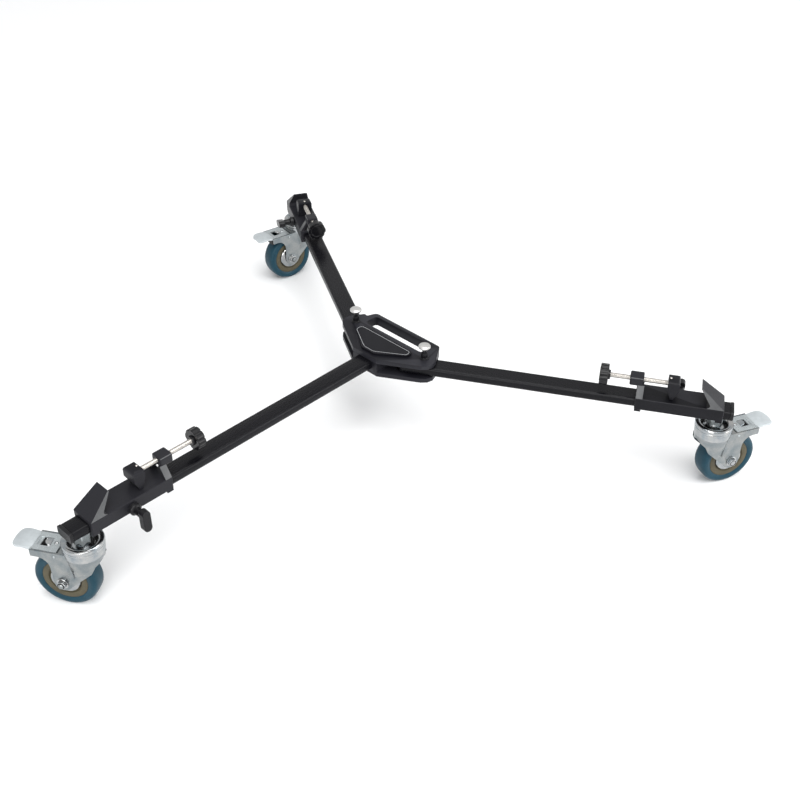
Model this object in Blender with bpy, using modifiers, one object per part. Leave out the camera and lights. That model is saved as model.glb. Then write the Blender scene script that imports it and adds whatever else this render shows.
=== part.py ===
"""Tripod dolly: a folding three-arm base on braked casters, with a clamp for a tripod foot on each arm.

Run with: blender --background --python part.py
Lengths are metres and heights are first measured from the floor. The whole model then hangs from
one empty that puts the origin at the centre of the hub's deck, where the three arms' lines meet.
Arm A is fixed and points along -Y. Arms B and C fold towards it about upright bolts in the hub.
On each arm, local x runs outwards along the tube, y to its left and z up.
"""
import math

import bmesh
import bpy
from mathutils import Matrix, Vector

MM = 0.001
ARMS = "ABC"
FOLDING = "BC"
GAP = 0.3 * MM                      # between pieces that touch
ROUND_STEPS = 20                    # sides of a large turned piece
HOLE_STEPS = 12                     # sides of a hole or a small pin
ARC_STEPS = 3                       # straight runs in a rounded corner

# Arms
ARM_ANGLE = {"A": -90.0, "B": 150.0, "C": 30.0}
STEM_REACH = 442 * MM               # hub centre to a caster's stem
END_PAST_STEM = 19.5 * MM           # from the stem to the end of the end plug
TUBE_REACH = STEM_REACH + END_PAST_STEM
TUBE_W = 25 * MM
TUBE_H = 12 * MM
TUBE_WALL = 1.8 * MM
TUBE_CORNER = 3 * MM
TUBE_INNER_CORNER = 1.2 * MM
PLUG_LIP = 4 * MM
PLUG_LIP_GROW = 0.6 * MM            # the lip stops the carriage
PLUG_INSERT = 36 * MM
PLUG_ROOF = 1.4 * MM                # over the stem's blind bore
PIVOT_REACH = 50 * MM               # hub centre to a folding arm's bolt
PIN_REACH = 72 * MM                 # hub centre to a folding arm's pull pin
ARM_TAIL = 14.5 * MM                # tube beyond the bolt, towards the centre
FIXED_TAIL = 14 * MM                # tube A past the centre, inside its socket

# Hub
HUB_FRONT_HALF = 21.5 * MM
HUB_FRONT_Y = -10 * MM
HUB_SIDE_X = 86 * MM
HUB_SIDE_Y = 28 * MM
HUB_SIDE_RADIUS = 16 * MM
HUB_BACK_X = 59 * MM
HUB_BACK_Y = 69.5 * MM
HUB_BACK_RADIUS = 6 * MM
NOTCHED_BACK_X = 56.5 * MM          # on the left, where a notch sets the handle off from the plate
LOBE_X = 66.5 * MM
LOBE_Y = 58 * MM
NOTCH_X = 62 * MM
NOTCH_Y = 55 * MM
NOTCH_RADIUS = 2.5 * MM
HUB_FRONT_RADIUS = 1.5 * MM
PLATE_T = 6 * MM
PLATE_EDGE = 1.2 * MM
PLATE_CLEAR = 1 * MM                # between an arm's tube and the plates
SOCKET_DEPTH = 34 * MM
SLOT_HALF = 51.5 * MM
SLOT_NEAR_Y = 42.5 * MM
SLOT_FAR_Y = 63.5 * MM
SLOT_RADIUS = 5 * MM
SLOT_WALL = 2.2 * MM
HANDLE_T = 13 * MM                  # carrying handle round the slot, down from the hub's top
PANEL_T = 2.7 * MM
PANEL_BACK_HALF = 46 * MM
PANEL_BACK_Y = 33 * MM
PANEL_SIDE_Y = 22 * MM
PANEL_FRONT_HALF = 11 * MM
PANEL_FRONT_Y = -4.5 * MM
PANEL_RADIUS = 5 * MM
BOLT_R = 4 * MM
BOLT_CLEAR = 0.3 * MM
BOLT_HEAD_R = 6.5 * MM
BOLT_HEAD_H = 4 * MM
BOLT_INTO_TOP = 4 * MM
FIXED_BOLT_Y = 4 * MM

# Pull pins
PIN_R = 1.9 * MM
PIN_CLEAR = 0.4 * MM
PIN_LIFT = 4 * MM                   # travel from locked to drawn
PIN_COLLAR_R = 3 * MM
PIN_COLLAR_T = 1 * MM
BUSH_BORE_R = 3.3 * MM
BUSH_BODY_R = 4.6 * MM
BUSH_FLANGE_R = 7 * MM
BUSH_FLANGE_T = 1 * MM
BUSH_H = 8 * MM                     # barrel above the hub plate
BUSH_ROOF_T = 1.4 * MM
BUSH_CHAMFER = 0.8 * MM
KNOB_TOP_RISE = 20.5 * MM           # top of the pull knob over the hub plate
KNOB_R = 7.8 * MM
KNOB_DOME_H = 1.2 * MM
KNOB_RIM_H = 2 * MM
KNOB_CONE_H = 5 * MM
SPRING_R = 2.65 * MM
SPRING_WIRE_R = 0.25 * MM
SPRING_TURNS = 3.5
SPRING_TURN_POINTS = 8

# Carriages
CARRIAGE_PAST_STEM = {"A": -5 * MM, "B": 8 * MM, "C": 7 * MM}
CARRIAGE_LENGTH = 107 * MM
CARRIAGE_W = 34 * MM
CARRIAGE_ROOF = 4.1 * MM
CARRIAGE_LIP_T = 2.4 * MM
CARRIAGE_LIP_LENGTH = 8 * MM
CARRIAGE_EDGE = 0.8 * MM
STEM_SLOT_HALF = 10.6 * MM          # lets the carriage pass the caster's stem
STOP_RISE = 24.6 * MM
STOP_LEAN = 30.2 * MM
STOP_TOP_HALF = 10.3 * MM
STOP_FOOT = 19 * MM
STOP_TOP_T = 1.6 * MM
STOP_FILLET = 2.5 * MM
BOSS_LENGTH = 17 * MM
BOSS_OVERHANG = 10 * MM             # towards the hub, past the carriage's inner end
BOSS_W = 16 * MM
BOSS_H = 12 * MM
BOSS_EDGE = 1.5 * MM
LEG_LENGTH = 8.5 * MM
LEG_T = 4 * MM
SCREW_RISE = 18.5 * MM              # clamp screw's axis over the carriage's top

# Clamps
JAW_OPENING = {"A": 77.5 * MM, "B": 64 * MM, "C": 71 * MM}  # jaw's inner face to the carriage's end
JAW_T = 14.5 * MM
JAW_W = 21 * MM
JAW_H = 25 * MM
JAW_CLEAR = 1 * MM
JAW_TIP_START = 5 * MM              # the jaw thins to a blunt edge at its foot
JAW_TIP_END = 8.5 * MM
JAW_INNER_TAPER = 14 * MM
JAW_OUTER_TAPER = 12 * MM
JAW_CROWN = 4 * MM
JAW_SHOULDER = 4 * MM
JAW_BORE_DEPTH = 9 * MM
SCREW_R = 3 * MM
SCREW_CLEAR = 0.4 * MM
SCREW_EXPOSED = 70 * MM             # from the knob's face to the jaw
CLAMP_KNOB_R = 12.6 * MM
CLAMP_KNOB_WAVE = 0.8 * MM
CLAMP_KNOB_LOBES = 8
CLAMP_KNOB_T = 13 * MM
CLAMP_KNOB_HUB_R = 6 * MM
CLAMP_KNOB_HUB_T = 2.5 * MM
LOBE_POINTS = 5

# Carriage lock screws
LOCK_FROM_END = 52.5 * MM
LOCK_R = 3 * MM
LOCK_PAD_T = 1.8 * MM
LOCK_COLLAR_R = 7.4 * MM
LOCK_COLLAR_T = 5.4 * MM
LOCK_NECK_R = 4.5 * MM
LOCK_REACH = 43 * MM                # tube's centre line to the wing's face
WING_T = 10 * MM
WING_LENGTH = 28.5 * MM
WING_DEPTH = 9.5 * MM
WING_DROP = 5 * MM
LOCK_REST = {"A": 0.0, "B": 108.0, "C": 0.0}

# Casters
CASTER_YAW = {"A": 211.0, "B": 260.0, "C": 64.0}
WHEEL_D = 75 * MM
TYRE_W = 24 * MM
TYRE_SHOULDER = 4.5 * MM
TYRE_BORE_R = 27 * MM
WHEEL_STEPS = 28
CORE_RIM_W = 21 * MM
CORE_GROOVE_R = 19.3 * MM
CORE_GROOVE_DEPTH = 2.5 * MM
GUARD_R = 17.6 * MM
HUB_FACE_R = 9 * MM
WHEEL_HUB_W = 27 * MM
AXLE_R = 4 * MM
AXLE_CLEAR = 0.3 * MM
AXLE_NUT_R = 7.4 * MM
AXLE_NUT_T = 5 * MM
TRAIL = 25.6 * MM
CROWN_CLEAR = 4.5 * MM              # tyre to the underside of the fork's crown
CROWN_T = 2.5 * MM
CROWN_R = 22.5 * MM
FORK_SIDE_T = 2 * MM
FORK_SIDE_CLEAR = 0.8 * MM
FORK_END_R = 11 * MM
FORK_REAR = 58 * MM
FORK_REAR_DROP = 9 * MM
FORK_HOLLOW_R = 14 * MM
FORK_SKIRT_DROP = 20 * MM
FORK_SKIRT_R = 14 * MM
HEAD_R = 24 * MM
HEAD_H = 14.5 * MM
HEAD_RIM_R = 18 * MM
HEAD_WELL_R = 15.5 * MM
HEAD_FLOOR = 5.7 * MM
HEAD_CURVE = 3 * MM
KINGPIN_R = 5.5 * MM
KINGPIN_CLEAR = 0.6 * MM
KINGPIN_FOOT_R = 8.5 * MM
KINGPIN_FOOT_T = 1.5 * MM
STEM_DISC_R = 13 * MM
STEM_DISC_T = 2.2 * MM
STEM_HEX_R = 9.8 * MM
STEM_RISE = 11.8 * MM               # swivel head to the tube
STEM_R = 5 * MM
STEM_BORE_CLEAR = 0.4 * MM

# Brakes
LEVER_PIVOT = 29 * MM
LEVER_PIVOT_DROP = 2.2 * MM         # below the fork's top
LEVER_PIN_R = 1.6 * MM
LEVER_T = 2 * MM
LEVER_SIDE_CLEAR = 0.5 * MM
LEVER_EAR_DROP = 1.2 * MM           # the lever's ears, below the pin's centre
WINDOW_LENGTH = 15 * MM
WINDOW_W = 13 * MM
WINDOW_FROM_PIVOT = 9 * MM
PAD_AT = 50 * MM
PAD_LENGTH = 6 * MM
PAD_W = 18 * MM
PAD_CLEAR = 2 * MM                  # brake pad to the tyre, brake off
PEDAL_LENGTH = 26 * MM
PEDAL_W = 27 * MM
PEDAL_T = 3.2 * MM
PEDAL_DROP = 4 * MM
PEDAL_RADIUS = 7 * MM

# Heights above the floor, and places that follow from the sizes above
AXLE_Z = WHEEL_D / 2
CROWN_Z = WHEEL_D + CROWN_CLEAR
CROWN_TOP = CROWN_Z + CROWN_T
HEAD_Z = CROWN_TOP + GAP
HEAD_TOP = HEAD_Z + HEAD_H
TUBE_Z = HEAD_TOP + STEM_RISE
TUBE_MID = TUBE_Z + TUBE_H / 2
TUBE_TOP = TUBE_Z + TUBE_H
PLATE_LOW = TUBE_Z - PLATE_CLEAR
PLATE_HIGH = TUBE_TOP + PLATE_CLEAR
HUB_LOW = PLATE_LOW - PLATE_T
HUB_TOP = PLATE_HIGH + PLATE_T
DECK_Z = HUB_TOP + GAP + PANEL_T
CARRIAGE_TOP = TUBE_TOP + GAP + CARRIAGE_ROOF
SCREW_Z = CARRIAGE_TOP + SCREW_RISE
FORK_INNER = WHEEL_HUB_W / 2 + FORK_SIDE_CLEAR
FORK_OUTER = FORK_INNER + FORK_SIDE_T
BRAKE_Z = CROWN_TOP - LEVER_PIVOT_DROP - CROWN_T
TUBE_END = TUBE_REACH - PLUG_LIP - GAP


# Scene and small helpers

def clear_scene():
    for item in list(bpy.data.objects):
        bpy.data.objects.remove(item, do_unlink=True)


def new_collection(name):
    made = bpy.data.collections.new(name)
    bpy.context.scene.collection.children.link(made)
    return made


def new_material(name, colour, roughness, metallic):
    made = bpy.data.materials.new(name)
    made.use_nodes = True
    shader = made.node_tree.nodes["Principled BSDF"]
    shader.inputs["Base Color"].default_value = (*colour, 1.0)
    shader.inputs["Roughness"].default_value = roughness
    shader.inputs["Metallic"].default_value = metallic
    made.diffuse_color = (*colour, 1.0)
    return made


def add_empty(name, parent, place, turn=0.0):
    made = bpy.data.objects.new(name, None)
    PARTS.objects.link(made)
    made.parent = parent
    made.location = place
    made.rotation_euler = (0.0, 0.0, turn)
    return made


def add_part(name, mesh, finish, parent, place=(0, 0, 0), turn=(0, 0, 0)):
    made = bpy.data.objects.new(name, mesh)
    PARTS.objects.link(made)
    made.parent = parent
    made.location = place
    made.rotation_euler = turn
    if not mesh.materials:
        mesh.materials.append(new_material(name, *finish))
    mesh.shade_smooth()
    mesh.set_sharp_from_angle(angle=math.radians(32))
    return made


def evaluated(item):
    """The item's mesh with its modifiers or its curve worked out; the item itself is removed."""
    graph = bpy.context.evaluated_depsgraph_get()
    mesh = bpy.data.meshes.new_from_object(item.evaluated_get(graph))
    bpy.data.objects.remove(item, do_unlink=True)
    return mesh


def weld(mesh):
    shape = bmesh.new()
    shape.from_mesh(mesh)
    bmesh.ops.remove_doubles(shape, verts=shape.verts, dist=0.001 * MM)
    bmesh.ops.recalc_face_normals(shape, faces=shape.faces)
    shape.to_mesh(mesh)
    shape.free()
    return mesh


def temporary(mesh):
    made = bpy.data.objects.new("tool", mesh)
    TOOLS.objects.link(made)
    made.hide_render = True
    made.display_type = "WIRE"
    return made


def combined(mesh, tool, operation):
    base = temporary(mesh)
    other = temporary(tool)
    change = base.modifiers.new("combine", "BOOLEAN")
    change.object = other
    change.operation = operation
    change.solver = "EXACT"
    made = evaluated(base)
    bpy.data.objects.remove(other, do_unlink=True)
    return made


def cut(mesh, *tools):
    for tool in tools:
        mesh = combined(mesh, tool, "DIFFERENCE")
    return mesh


def join(mesh, *tools):
    for tool in tools:
        mesh = combined(mesh, tool, "UNION")
    return mesh


def common(mesh, tool):
    return combined(mesh, tool, "INTERSECT")


def bevelled(mesh, width, segments=2, angle=40.0):
    item = temporary(mesh)
    change = item.modifiers.new("edge", "BEVEL")
    change.width = width
    change.segments = segments
    change.limit_method = "ANGLE"
    change.angle_limit = math.radians(angle)
    return evaluated(item)


def block(low, high):
    """A box between two corners."""
    low = Vector(low)
    high = Vector(high)
    shape = bmesh.new()
    bmesh.ops.create_cube(shape, size=1.0)
    size = high - low
    bmesh.ops.scale(shape, vec=size, verts=shape.verts)
    bmesh.ops.translate(shape, vec=(low + high) / 2, verts=shape.verts)
    mesh = bpy.data.meshes.new("block")
    shape.to_mesh(mesh)
    shape.free()
    return mesh


AXIS_TURN = {
    "x": Matrix.Rotation(math.radians(90), 4, "Y"),
    "y": Matrix.Rotation(math.radians(-90), 4, "X"),
    "z": Matrix.Identity(4),
}


def cylinder(radius, start, length, axis="z", steps=HOLE_STEPS, top_radius=None):
    """A cylinder or cone that starts at a point and runs along +axis."""
    shape = bmesh.new()
    end = radius if top_radius is None else top_radius
    bmesh.ops.create_cone(shape, cap_ends=True, segments=steps, radius1=radius, radius2=end, depth=length)
    bmesh.ops.translate(shape, vec=(0, 0, length / 2), verts=shape.verts)
    bmesh.ops.transform(shape, matrix=AXIS_TURN[axis], verts=shape.verts)
    bmesh.ops.translate(shape, vec=Vector(start), verts=shape.verts)
    mesh = bpy.data.meshes.new("cylinder")
    shape.to_mesh(mesh)
    shape.free()
    return mesh


PLANE_TURN = {
    "xy": Matrix.Identity(4),
    "xz": Matrix.Rotation(math.radians(90), 4, "X"),
    "yz": Matrix.Rotation(math.radians(90), 4, "Z") @ Matrix.Rotation(math.radians(90), 4, "X"),
}
PLANE_NORMAL = {"xy": (0, 0, 1), "xz": (0, -1, 0), "yz": (1, 0, 0)}


def prism(outline, low, high, plane="xy"):
    """An outline in a plane, extruded square to it from low to high along the plane's third axis."""
    curve = bpy.data.curves.new("outline", "CURVE")
    curve.dimensions = "2D"
    curve.fill_mode = "BOTH"
    curve.extrude = (high - low) / 2
    line = curve.splines.new("POLY")
    line.points.add(len(outline) - 1)
    for point, (across, up) in zip(line.points, outline):
        point.co = (across, up, 0.0, 1.0)
    line.use_cyclic_u = True
    item = bpy.data.objects.new("outline", curve)
    TOOLS.objects.link(item)
    mesh = weld(evaluated(item))
    bpy.data.curves.remove(curve)
    mesh.transform(PLANE_TURN[plane])
    middle = (low + high) / 2
    side = Vector([abs(part) for part in PLANE_NORMAL[plane]])
    mesh.transform(Matrix.Translation(side * middle))
    return mesh


def arc(centre, radius, start, end, steps=ARC_STEPS):
    """Points on an arc, angles in degrees."""
    points = []
    for index in range(steps + 1):
        angle = math.radians(start + (end - start) * index / steps)
        points.append((centre[0] + radius * math.cos(angle), centre[1] + radius * math.sin(angle)))
    return points


def rounded(corners, radii, steps=ARC_STEPS):
    """An outline with each corner rounded to its own radius."""
    points = []
    count = len(corners)
    for index, corner in enumerate(corners):
        here = Vector(corner)
        before = (Vector(corners[index - 1]) - here).normalized()
        after = (Vector(corners[(index + 1) % count]) - here).normalized()
        radius = radii[index]
        if radius == 0:
            points.append(corner)
            continue
        half = before.angle(after) / 2
        centre = here + (before + after).normalized() * radius / math.sin(half)
        first = here + before * radius / math.tan(half) - centre
        last = here + after * radius / math.tan(half) - centre
        start = math.atan2(first.y, first.x)
        sweep = math.atan2(last.y, last.x) - start
        sweep = (sweep + math.pi) % (2 * math.pi) - math.pi
        for step in range(steps + 1):
            angle = start + sweep * step / steps
            points.append((centre.x + radius * math.cos(angle), centre.y + radius * math.sin(angle)))
    return points


def rounded_box(half_wide, half_high, radius, middle=(0, 0), steps=ARC_STEPS):
    corners = [
        (-half_wide, -half_high), (half_wide, -half_high), (half_wide, half_high), (-half_wide, half_high),
    ]
    corners = [(across + middle[0], up + middle[1]) for across, up in corners]
    return rounded(corners, [radius] * 4, steps)


def mirrored(outline):
    return [(-across, up) for across, up in reversed(outline)]


def turned(profile, steps=ROUND_STEPS):
    """A turned solid about z. The profile of (radius, height) runs down its outer side."""
    mesh = bpy.data.meshes.new("profile")
    points = [(radius, 0.0, height) for radius, height in profile]
    edges = [(index, index + 1) for index in range(len(points) - 1)]
    if profile[0][0] > 0:
        edges.append((len(points) - 1, 0))
    mesh.from_pydata(points, edges, [])
    item = temporary(mesh)
    change = item.modifiers.new("turn", "SCREW")
    change.steps = steps
    change.render_steps = steps
    change.use_merge_vertices = True
    change.merge_threshold = 0.01 * MM
    return weld(evaluated(item))


def moved(mesh, place):
    mesh.transform(Matrix.Translation(Vector(place)))
    return mesh


# Finishes: colour, roughness, metallic
BLACK_PAINT = ((0.022, 0.022, 0.024), 0.42, 0.0)
BLACK_ANODISED = ((0.028, 0.028, 0.032), 0.38, 0.6)
BLACK_PLASTIC = ((0.015, 0.015, 0.016), 0.5, 0.0)
ZINC = ((0.62, 0.65, 0.67), 0.3, 1.0)
STEEL = ((0.55, 0.53, 0.5), 0.32, 1.0)
BRASS = ((0.6, 0.45, 0.2), 0.35, 1.0)
PALE_PEDAL = ((0.66, 0.69, 0.71), 0.45, 0.0)
BLUE_RUBBER = ((0.032, 0.09, 0.125), 0.6, 0.0)
OLIVE_PLASTIC = ((0.12, 0.1, 0.055), 0.55, 0.0)


# Hub

def hub_outline():
    front = [(0, HUB_FRONT_Y), (HUB_FRONT_HALF, HUB_FRONT_Y), (HUB_SIDE_X, HUB_SIDE_Y)]
    radii = [0, HUB_FRONT_RADIUS, HUB_SIDE_RADIUS]
    right = rounded(front + [(HUB_BACK_X, HUB_BACK_Y), (0, HUB_BACK_Y)], radii + [HUB_BACK_RADIUS, 0])
    notch = [(LOBE_X, LOBE_Y), (NOTCH_X, NOTCH_Y)]
    left = rounded(
        front + notch + [(NOTCHED_BACK_X, HUB_BACK_Y), (0, HUB_BACK_Y)],
        radii + [NOTCH_RADIUS, NOTCH_RADIUS, HUB_BACK_RADIUS, 0],
    )
    return right[1:-1] + mirrored(left[1:-1])


def slot_outline():
    middle = (SLOT_NEAR_Y + SLOT_FAR_Y) / 2
    return rounded_box(SLOT_HALF, (SLOT_FAR_Y - SLOT_NEAR_Y) / 2, SLOT_RADIUS, (0, middle))


def arm_point(arm, along, across=0.0):
    angle = math.radians(ARM_ANGLE[arm])
    outward = Vector((math.cos(angle), math.sin(angle)))
    left = Vector((-math.sin(angle), math.cos(angle)))
    return outward * along + left * across


def arm_edge(back_y):
    """Right side of the arms' space: along the back edge of arm C, then in to a wall at back_y."""
    slope = math.tan(math.radians(ARM_ANGLE["C"]))
    rise = (TUBE_W / 2 + GAP) / math.cos(math.radians(ARM_ANGLE["C"]))
    beyond = 2 * HUB_SIDE_X
    return [
        (beyond, HUB_FRONT_Y - beyond), (beyond, slope * beyond + rise), ((back_y - rise) / slope, back_y),
    ]


def arm_space_outline():
    """The space between the plates: open at both sides, around the socket and up to the slot's wall."""
    edge = arm_edge(SLOT_NEAR_Y - SLOT_WALL)
    right = [(HUB_FRONT_HALF, edge[0][1])] + edge
    socket_y = HUB_FRONT_Y + SOCKET_DEPTH
    return right + mirrored(right) + [(-HUB_FRONT_HALF, socket_y), (HUB_FRONT_HALF, socket_y)]


def under_plate_outline():
    """What is cleared below the top plate, so that only the handle hangs deeper."""
    right = arm_edge(SLOT_NEAR_Y + GAP)
    return right + mirrored(right)


def through_bolt_points():
    points = {"A": Vector((0, FIXED_BOLT_Y))}
    for arm in FOLDING:
        points[arm] = arm_point(arm, PIVOT_REACH)
    return points


def hub_bottom_mesh():
    mesh = prism(hub_outline(), HUB_LOW, PLATE_HIGH - GAP)
    mesh = cut(mesh, prism(arm_space_outline(), PLATE_LOW, PLATE_HIGH + PLATE_T))
    channel = rounded_box(TUBE_W / 2 + GAP, TUBE_H / 2 + GAP, TUBE_CORNER + GAP, (0, TUBE_MID))
    mesh = cut(mesh, prism(channel, HUB_FRONT_Y - TUBE_W, FIXED_TAIL + GAP, "xz"))
    behind = block((-HUB_SIDE_X, SLOT_NEAR_Y, HUB_LOW - PLATE_T), (HUB_SIDE_X, 2 * HUB_BACK_Y, HUB_TOP))
    mesh = cut(mesh, behind)
    for point in through_bolt_points().values():
        mesh = cut(mesh, cylinder(BOLT_R + BOLT_CLEAR, (*point, HUB_LOW - PLATE_T), 3 * PLATE_T))
    roof_hole = cylinder(BOLT_R + BOLT_CLEAR, (0, FIXED_BOLT_Y, TUBE_MID), TUBE_H)
    return cut(mesh, roof_hole)


def hub_top_mesh():
    """The top plate, with the deeper carrying handle along its back."""
    handle_low = HUB_TOP - HANDLE_T
    mesh = bevelled(prism(hub_outline(), handle_low, HUB_TOP), PLATE_EDGE, 1)
    mesh = cut(mesh, prism(under_plate_outline(), handle_low - PLATE_T, PLATE_HIGH))
    mesh = cut(mesh, prism(slot_outline(), handle_low - PLATE_T, HUB_TOP + PLATE_T))
    for point in through_bolt_points().values():
        hole = cylinder(BOLT_R + BOLT_CLEAR, (*point, PLATE_HIGH - PLATE_T), PLATE_T + BOLT_INTO_TOP + GAP)
        mesh = cut(mesh, hole)
    for arm in FOLDING:
        start = (*arm_point(arm, PIN_REACH), PLATE_HIGH - PLATE_T)
        mesh = cut(mesh, cylinder(BUSH_BODY_R + GAP, start, 3 * PLATE_T))
    return mesh


def panel_outline():
    right = rounded(
        [(0, PANEL_FRONT_Y), (PANEL_FRONT_HALF, PANEL_FRONT_Y), (PANEL_BACK_HALF, PANEL_SIDE_Y),
         (PANEL_BACK_HALF, PANEL_BACK_Y), (0, PANEL_BACK_Y)],
        [0, PANEL_RADIUS, PANEL_RADIUS, PANEL_RADIUS, 0],
    )
    return right[1:-1] + mirrored(right[1:-1])


def through_bolt_mesh():
    top = PLATE_HIGH + BOLT_INTO_TOP
    seat = HUB_LOW - GAP
    return turned([
        (0, top), (BOLT_R, top), (BOLT_R, seat), (BOLT_HEAD_R, seat),
        (BOLT_HEAD_R, seat - BOLT_HEAD_H), (0, seat - BOLT_HEAD_H),
    ], HOLE_STEPS)


def bush_mesh():
    seat = HUB_TOP + GAP
    flange = seat + BUSH_FLANGE_T
    top = seat + BUSH_H
    roof = top - BUSH_ROOF_T
    low = PLATE_HIGH + GAP
    throat = PIN_R + PIN_CLEAR
    return turned([
        (throat, top), (BUSH_BODY_R - BUSH_CHAMFER, top), (BUSH_BODY_R, top - BUSH_CHAMFER),
        (BUSH_BODY_R, flange), (BUSH_FLANGE_R, flange), (BUSH_FLANGE_R, seat), (BUSH_BODY_R, seat),
        (BUSH_BODY_R, low), (throat, low),
        (throat, low + PIN_COLLAR_T), (BUSH_BORE_R, low + PIN_COLLAR_T), (BUSH_BORE_R, roof), (throat, roof),
    ], HOLE_STEPS)


def pin_collar_z():
    """Underside of the pin's collar with the pin drawn."""
    return PLATE_HIGH + GAP + PIN_COLLAR_T + GAP + PIN_LIFT


def pull_pin_mesh():
    top = HUB_TOP + KNOB_TOP_RISE
    rim = top - KNOB_DOME_H
    cone = rim - KNOB_RIM_H
    tip = TUBE_TOP + 2 * GAP
    collar = pin_collar_z()
    return turned([
        (0, top), (KNOB_R * 0.55, top - KNOB_DOME_H * 0.25), (KNOB_R, rim), (KNOB_R, cone),
        (PIN_R + PIN_CLEAR, cone - KNOB_CONE_H), (PIN_R, cone - KNOB_CONE_H), (PIN_R, collar + PIN_COLLAR_T),
        (PIN_COLLAR_R, collar + PIN_COLLAR_T), (PIN_COLLAR_R, collar), (PIN_R, collar),
        (PIN_R, tip + BUSH_CHAMFER), (PIN_R - BUSH_CHAMFER, tip), (0, tip),
    ])


def pin_spring_mesh():
    """A short open coil, squeezed between the pin's collar and the bush's roof."""
    low = pin_collar_z() + PIN_COLLAR_T + GAP + SPRING_WIRE_R
    high = HUB_TOP + GAP + BUSH_H - BUSH_ROOF_T - GAP - SPRING_WIRE_R
    curve = bpy.data.curves.new("spring", "CURVE")
    curve.dimensions = "3D"
    curve.bevel_depth = SPRING_WIRE_R
    curve.bevel_resolution = 1
    curve.use_fill_caps = True
    line = curve.splines.new("POLY")
    count = int(SPRING_TURNS * SPRING_TURN_POINTS)
    line.points.add(count)
    for index, point in enumerate(line.points):
        share = index / count
        angle = 2 * math.pi * SPRING_TURNS * share
        point.co = (SPRING_R * math.cos(angle), SPRING_R * math.sin(angle), low + (high - low) * share, 1.0)
    item = bpy.data.objects.new("spring", curve)
    TOOLS.objects.link(item)
    mesh = weld(evaluated(item))
    bpy.data.curves.remove(curve)
    return mesh


# Arms

def tube_section(grow=0.0):
    return rounded_box(TUBE_W / 2 + grow, TUBE_H / 2 + grow, TUBE_CORNER + grow, (0, TUBE_MID))


def tube_bore():
    return rounded_box(TUBE_W / 2 - TUBE_WALL, TUBE_H / 2 - TUBE_WALL, TUBE_INNER_CORNER, (0, TUBE_MID))


def stem_hole():
    return cylinder(STEM_R + STEM_BORE_CLEAR, (STEM_REACH, 0, TUBE_Z - TUBE_H), TUBE_H + TUBE_H / 2)


def fixed_tube_mesh():
    mesh = prism(tube_section(), -FIXED_TAIL, TUBE_END, "yz")
    mesh = cut(mesh, prism(tube_bore(), -FIXED_TAIL - TUBE_W, TUBE_END + TUBE_W, "yz"), stem_hole())
    return cut(mesh, cylinder(BOLT_R + BOLT_CLEAR, (-FIXED_BOLT_Y, 0, TUBE_Z - TUBE_H), 3 * TUBE_H))


def folding_tube_mesh():
    inner = PIVOT_REACH - ARM_TAIL
    mesh = prism(tube_section(), inner - TUBE_W, TUBE_END, "yz")
    nose = arc((inner + TUBE_W / 2, 0), TUBE_W / 2, 90, 270, 3 * ARC_STEPS)
    beyond = TUBE_END + TUBE_W
    plan = nose + [(inner + TUBE_W, -TUBE_W), (beyond, -TUBE_W), (beyond, TUBE_W), (inner + TUBE_W, TUBE_W)]
    mesh = common(mesh, prism(plan, TUBE_Z - TUBE_H, TUBE_TOP + TUBE_H))
    mesh = cut(mesh, prism(tube_bore(), inner - 2 * TUBE_W, TUBE_END + TUBE_W, "yz"), stem_hole())
    bolt_hole = cylinder(BOLT_R + BOLT_CLEAR, (PIVOT_REACH, 0, TUBE_Z - TUBE_H), 3 * TUBE_H)
    pin_hole = cylinder(PIN_R + PIN_CLEAR, (PIN_REACH, 0, TUBE_Z - TUBE_H), 3 * TUBE_H)
    return cut(mesh, bolt_hole, pin_hole)


def plug_mesh():
    lip = prism(tube_section(PLUG_LIP_GROW), TUBE_REACH - PLUG_LIP, TUBE_REACH, "yz")
    lip = bevelled(lip, CARRIAGE_EDGE, 1, 60)
    half_w = TUBE_W / 2 - TUBE_WALL - GAP
    half_h = TUBE_H / 2 - TUBE_WALL - GAP
    start = TUBE_REACH - PLUG_LIP - PLUG_INSERT
    section = rounded_box(half_w, half_h, TUBE_INNER_CORNER, (0, TUBE_MID))
    insert = prism(section, start, TUBE_REACH - PLUG_LIP / 2, "yz")
    mesh = join(lip, insert)
    depth = TUBE_MID + half_h - PLUG_ROOF - TUBE_Z
    return cut(mesh, cylinder(STEM_R + STEM_BORE_CLEAR, (STEM_REACH, 0, TUBE_Z), depth))


# Carriages: x is 0 at the outer end and falls towards the hub

def stop_mesh():
    """The leaning wedge that a tripod's foot pushes against, narrower at its top."""
    foot = -STOP_FOOT
    apex = CARRIAGE_TOP + STOP_RISE
    sunk = CARRIAGE_TOP - CARRIAGE_ROOF / 2
    lean = STOP_TOP_T * STOP_RISE / math.hypot(STOP_LEAN, STOP_RISE)
    side = rounded(
        [(-GAP, sunk), (-GAP, CARRIAGE_TOP), (-STOP_LEAN, apex), (-STOP_LEAN - lean / 2, apex - STOP_TOP_T),
         (foot + STOP_FILLET, CARRIAGE_TOP + STOP_FILLET), (foot - STOP_FILLET, CARRIAGE_TOP),
         (foot - STOP_FILLET, sunk)],
        [0, 0, 0, 0, STOP_FILLET, 0, 0],
    )
    mesh = prism(side, -CARRIAGE_W, CARRIAGE_W, "xz")
    half = CARRIAGE_W / 2 - GAP
    front = [(-half, sunk), (half, sunk), (half, CARRIAGE_TOP), (STOP_TOP_HALF, apex),
             (-STOP_TOP_HALF, apex), (-half, CARRIAGE_TOP)]
    return common(mesh, prism(front, -CARRIAGE_W * 2, CARRIAGE_W, "yz"))


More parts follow.
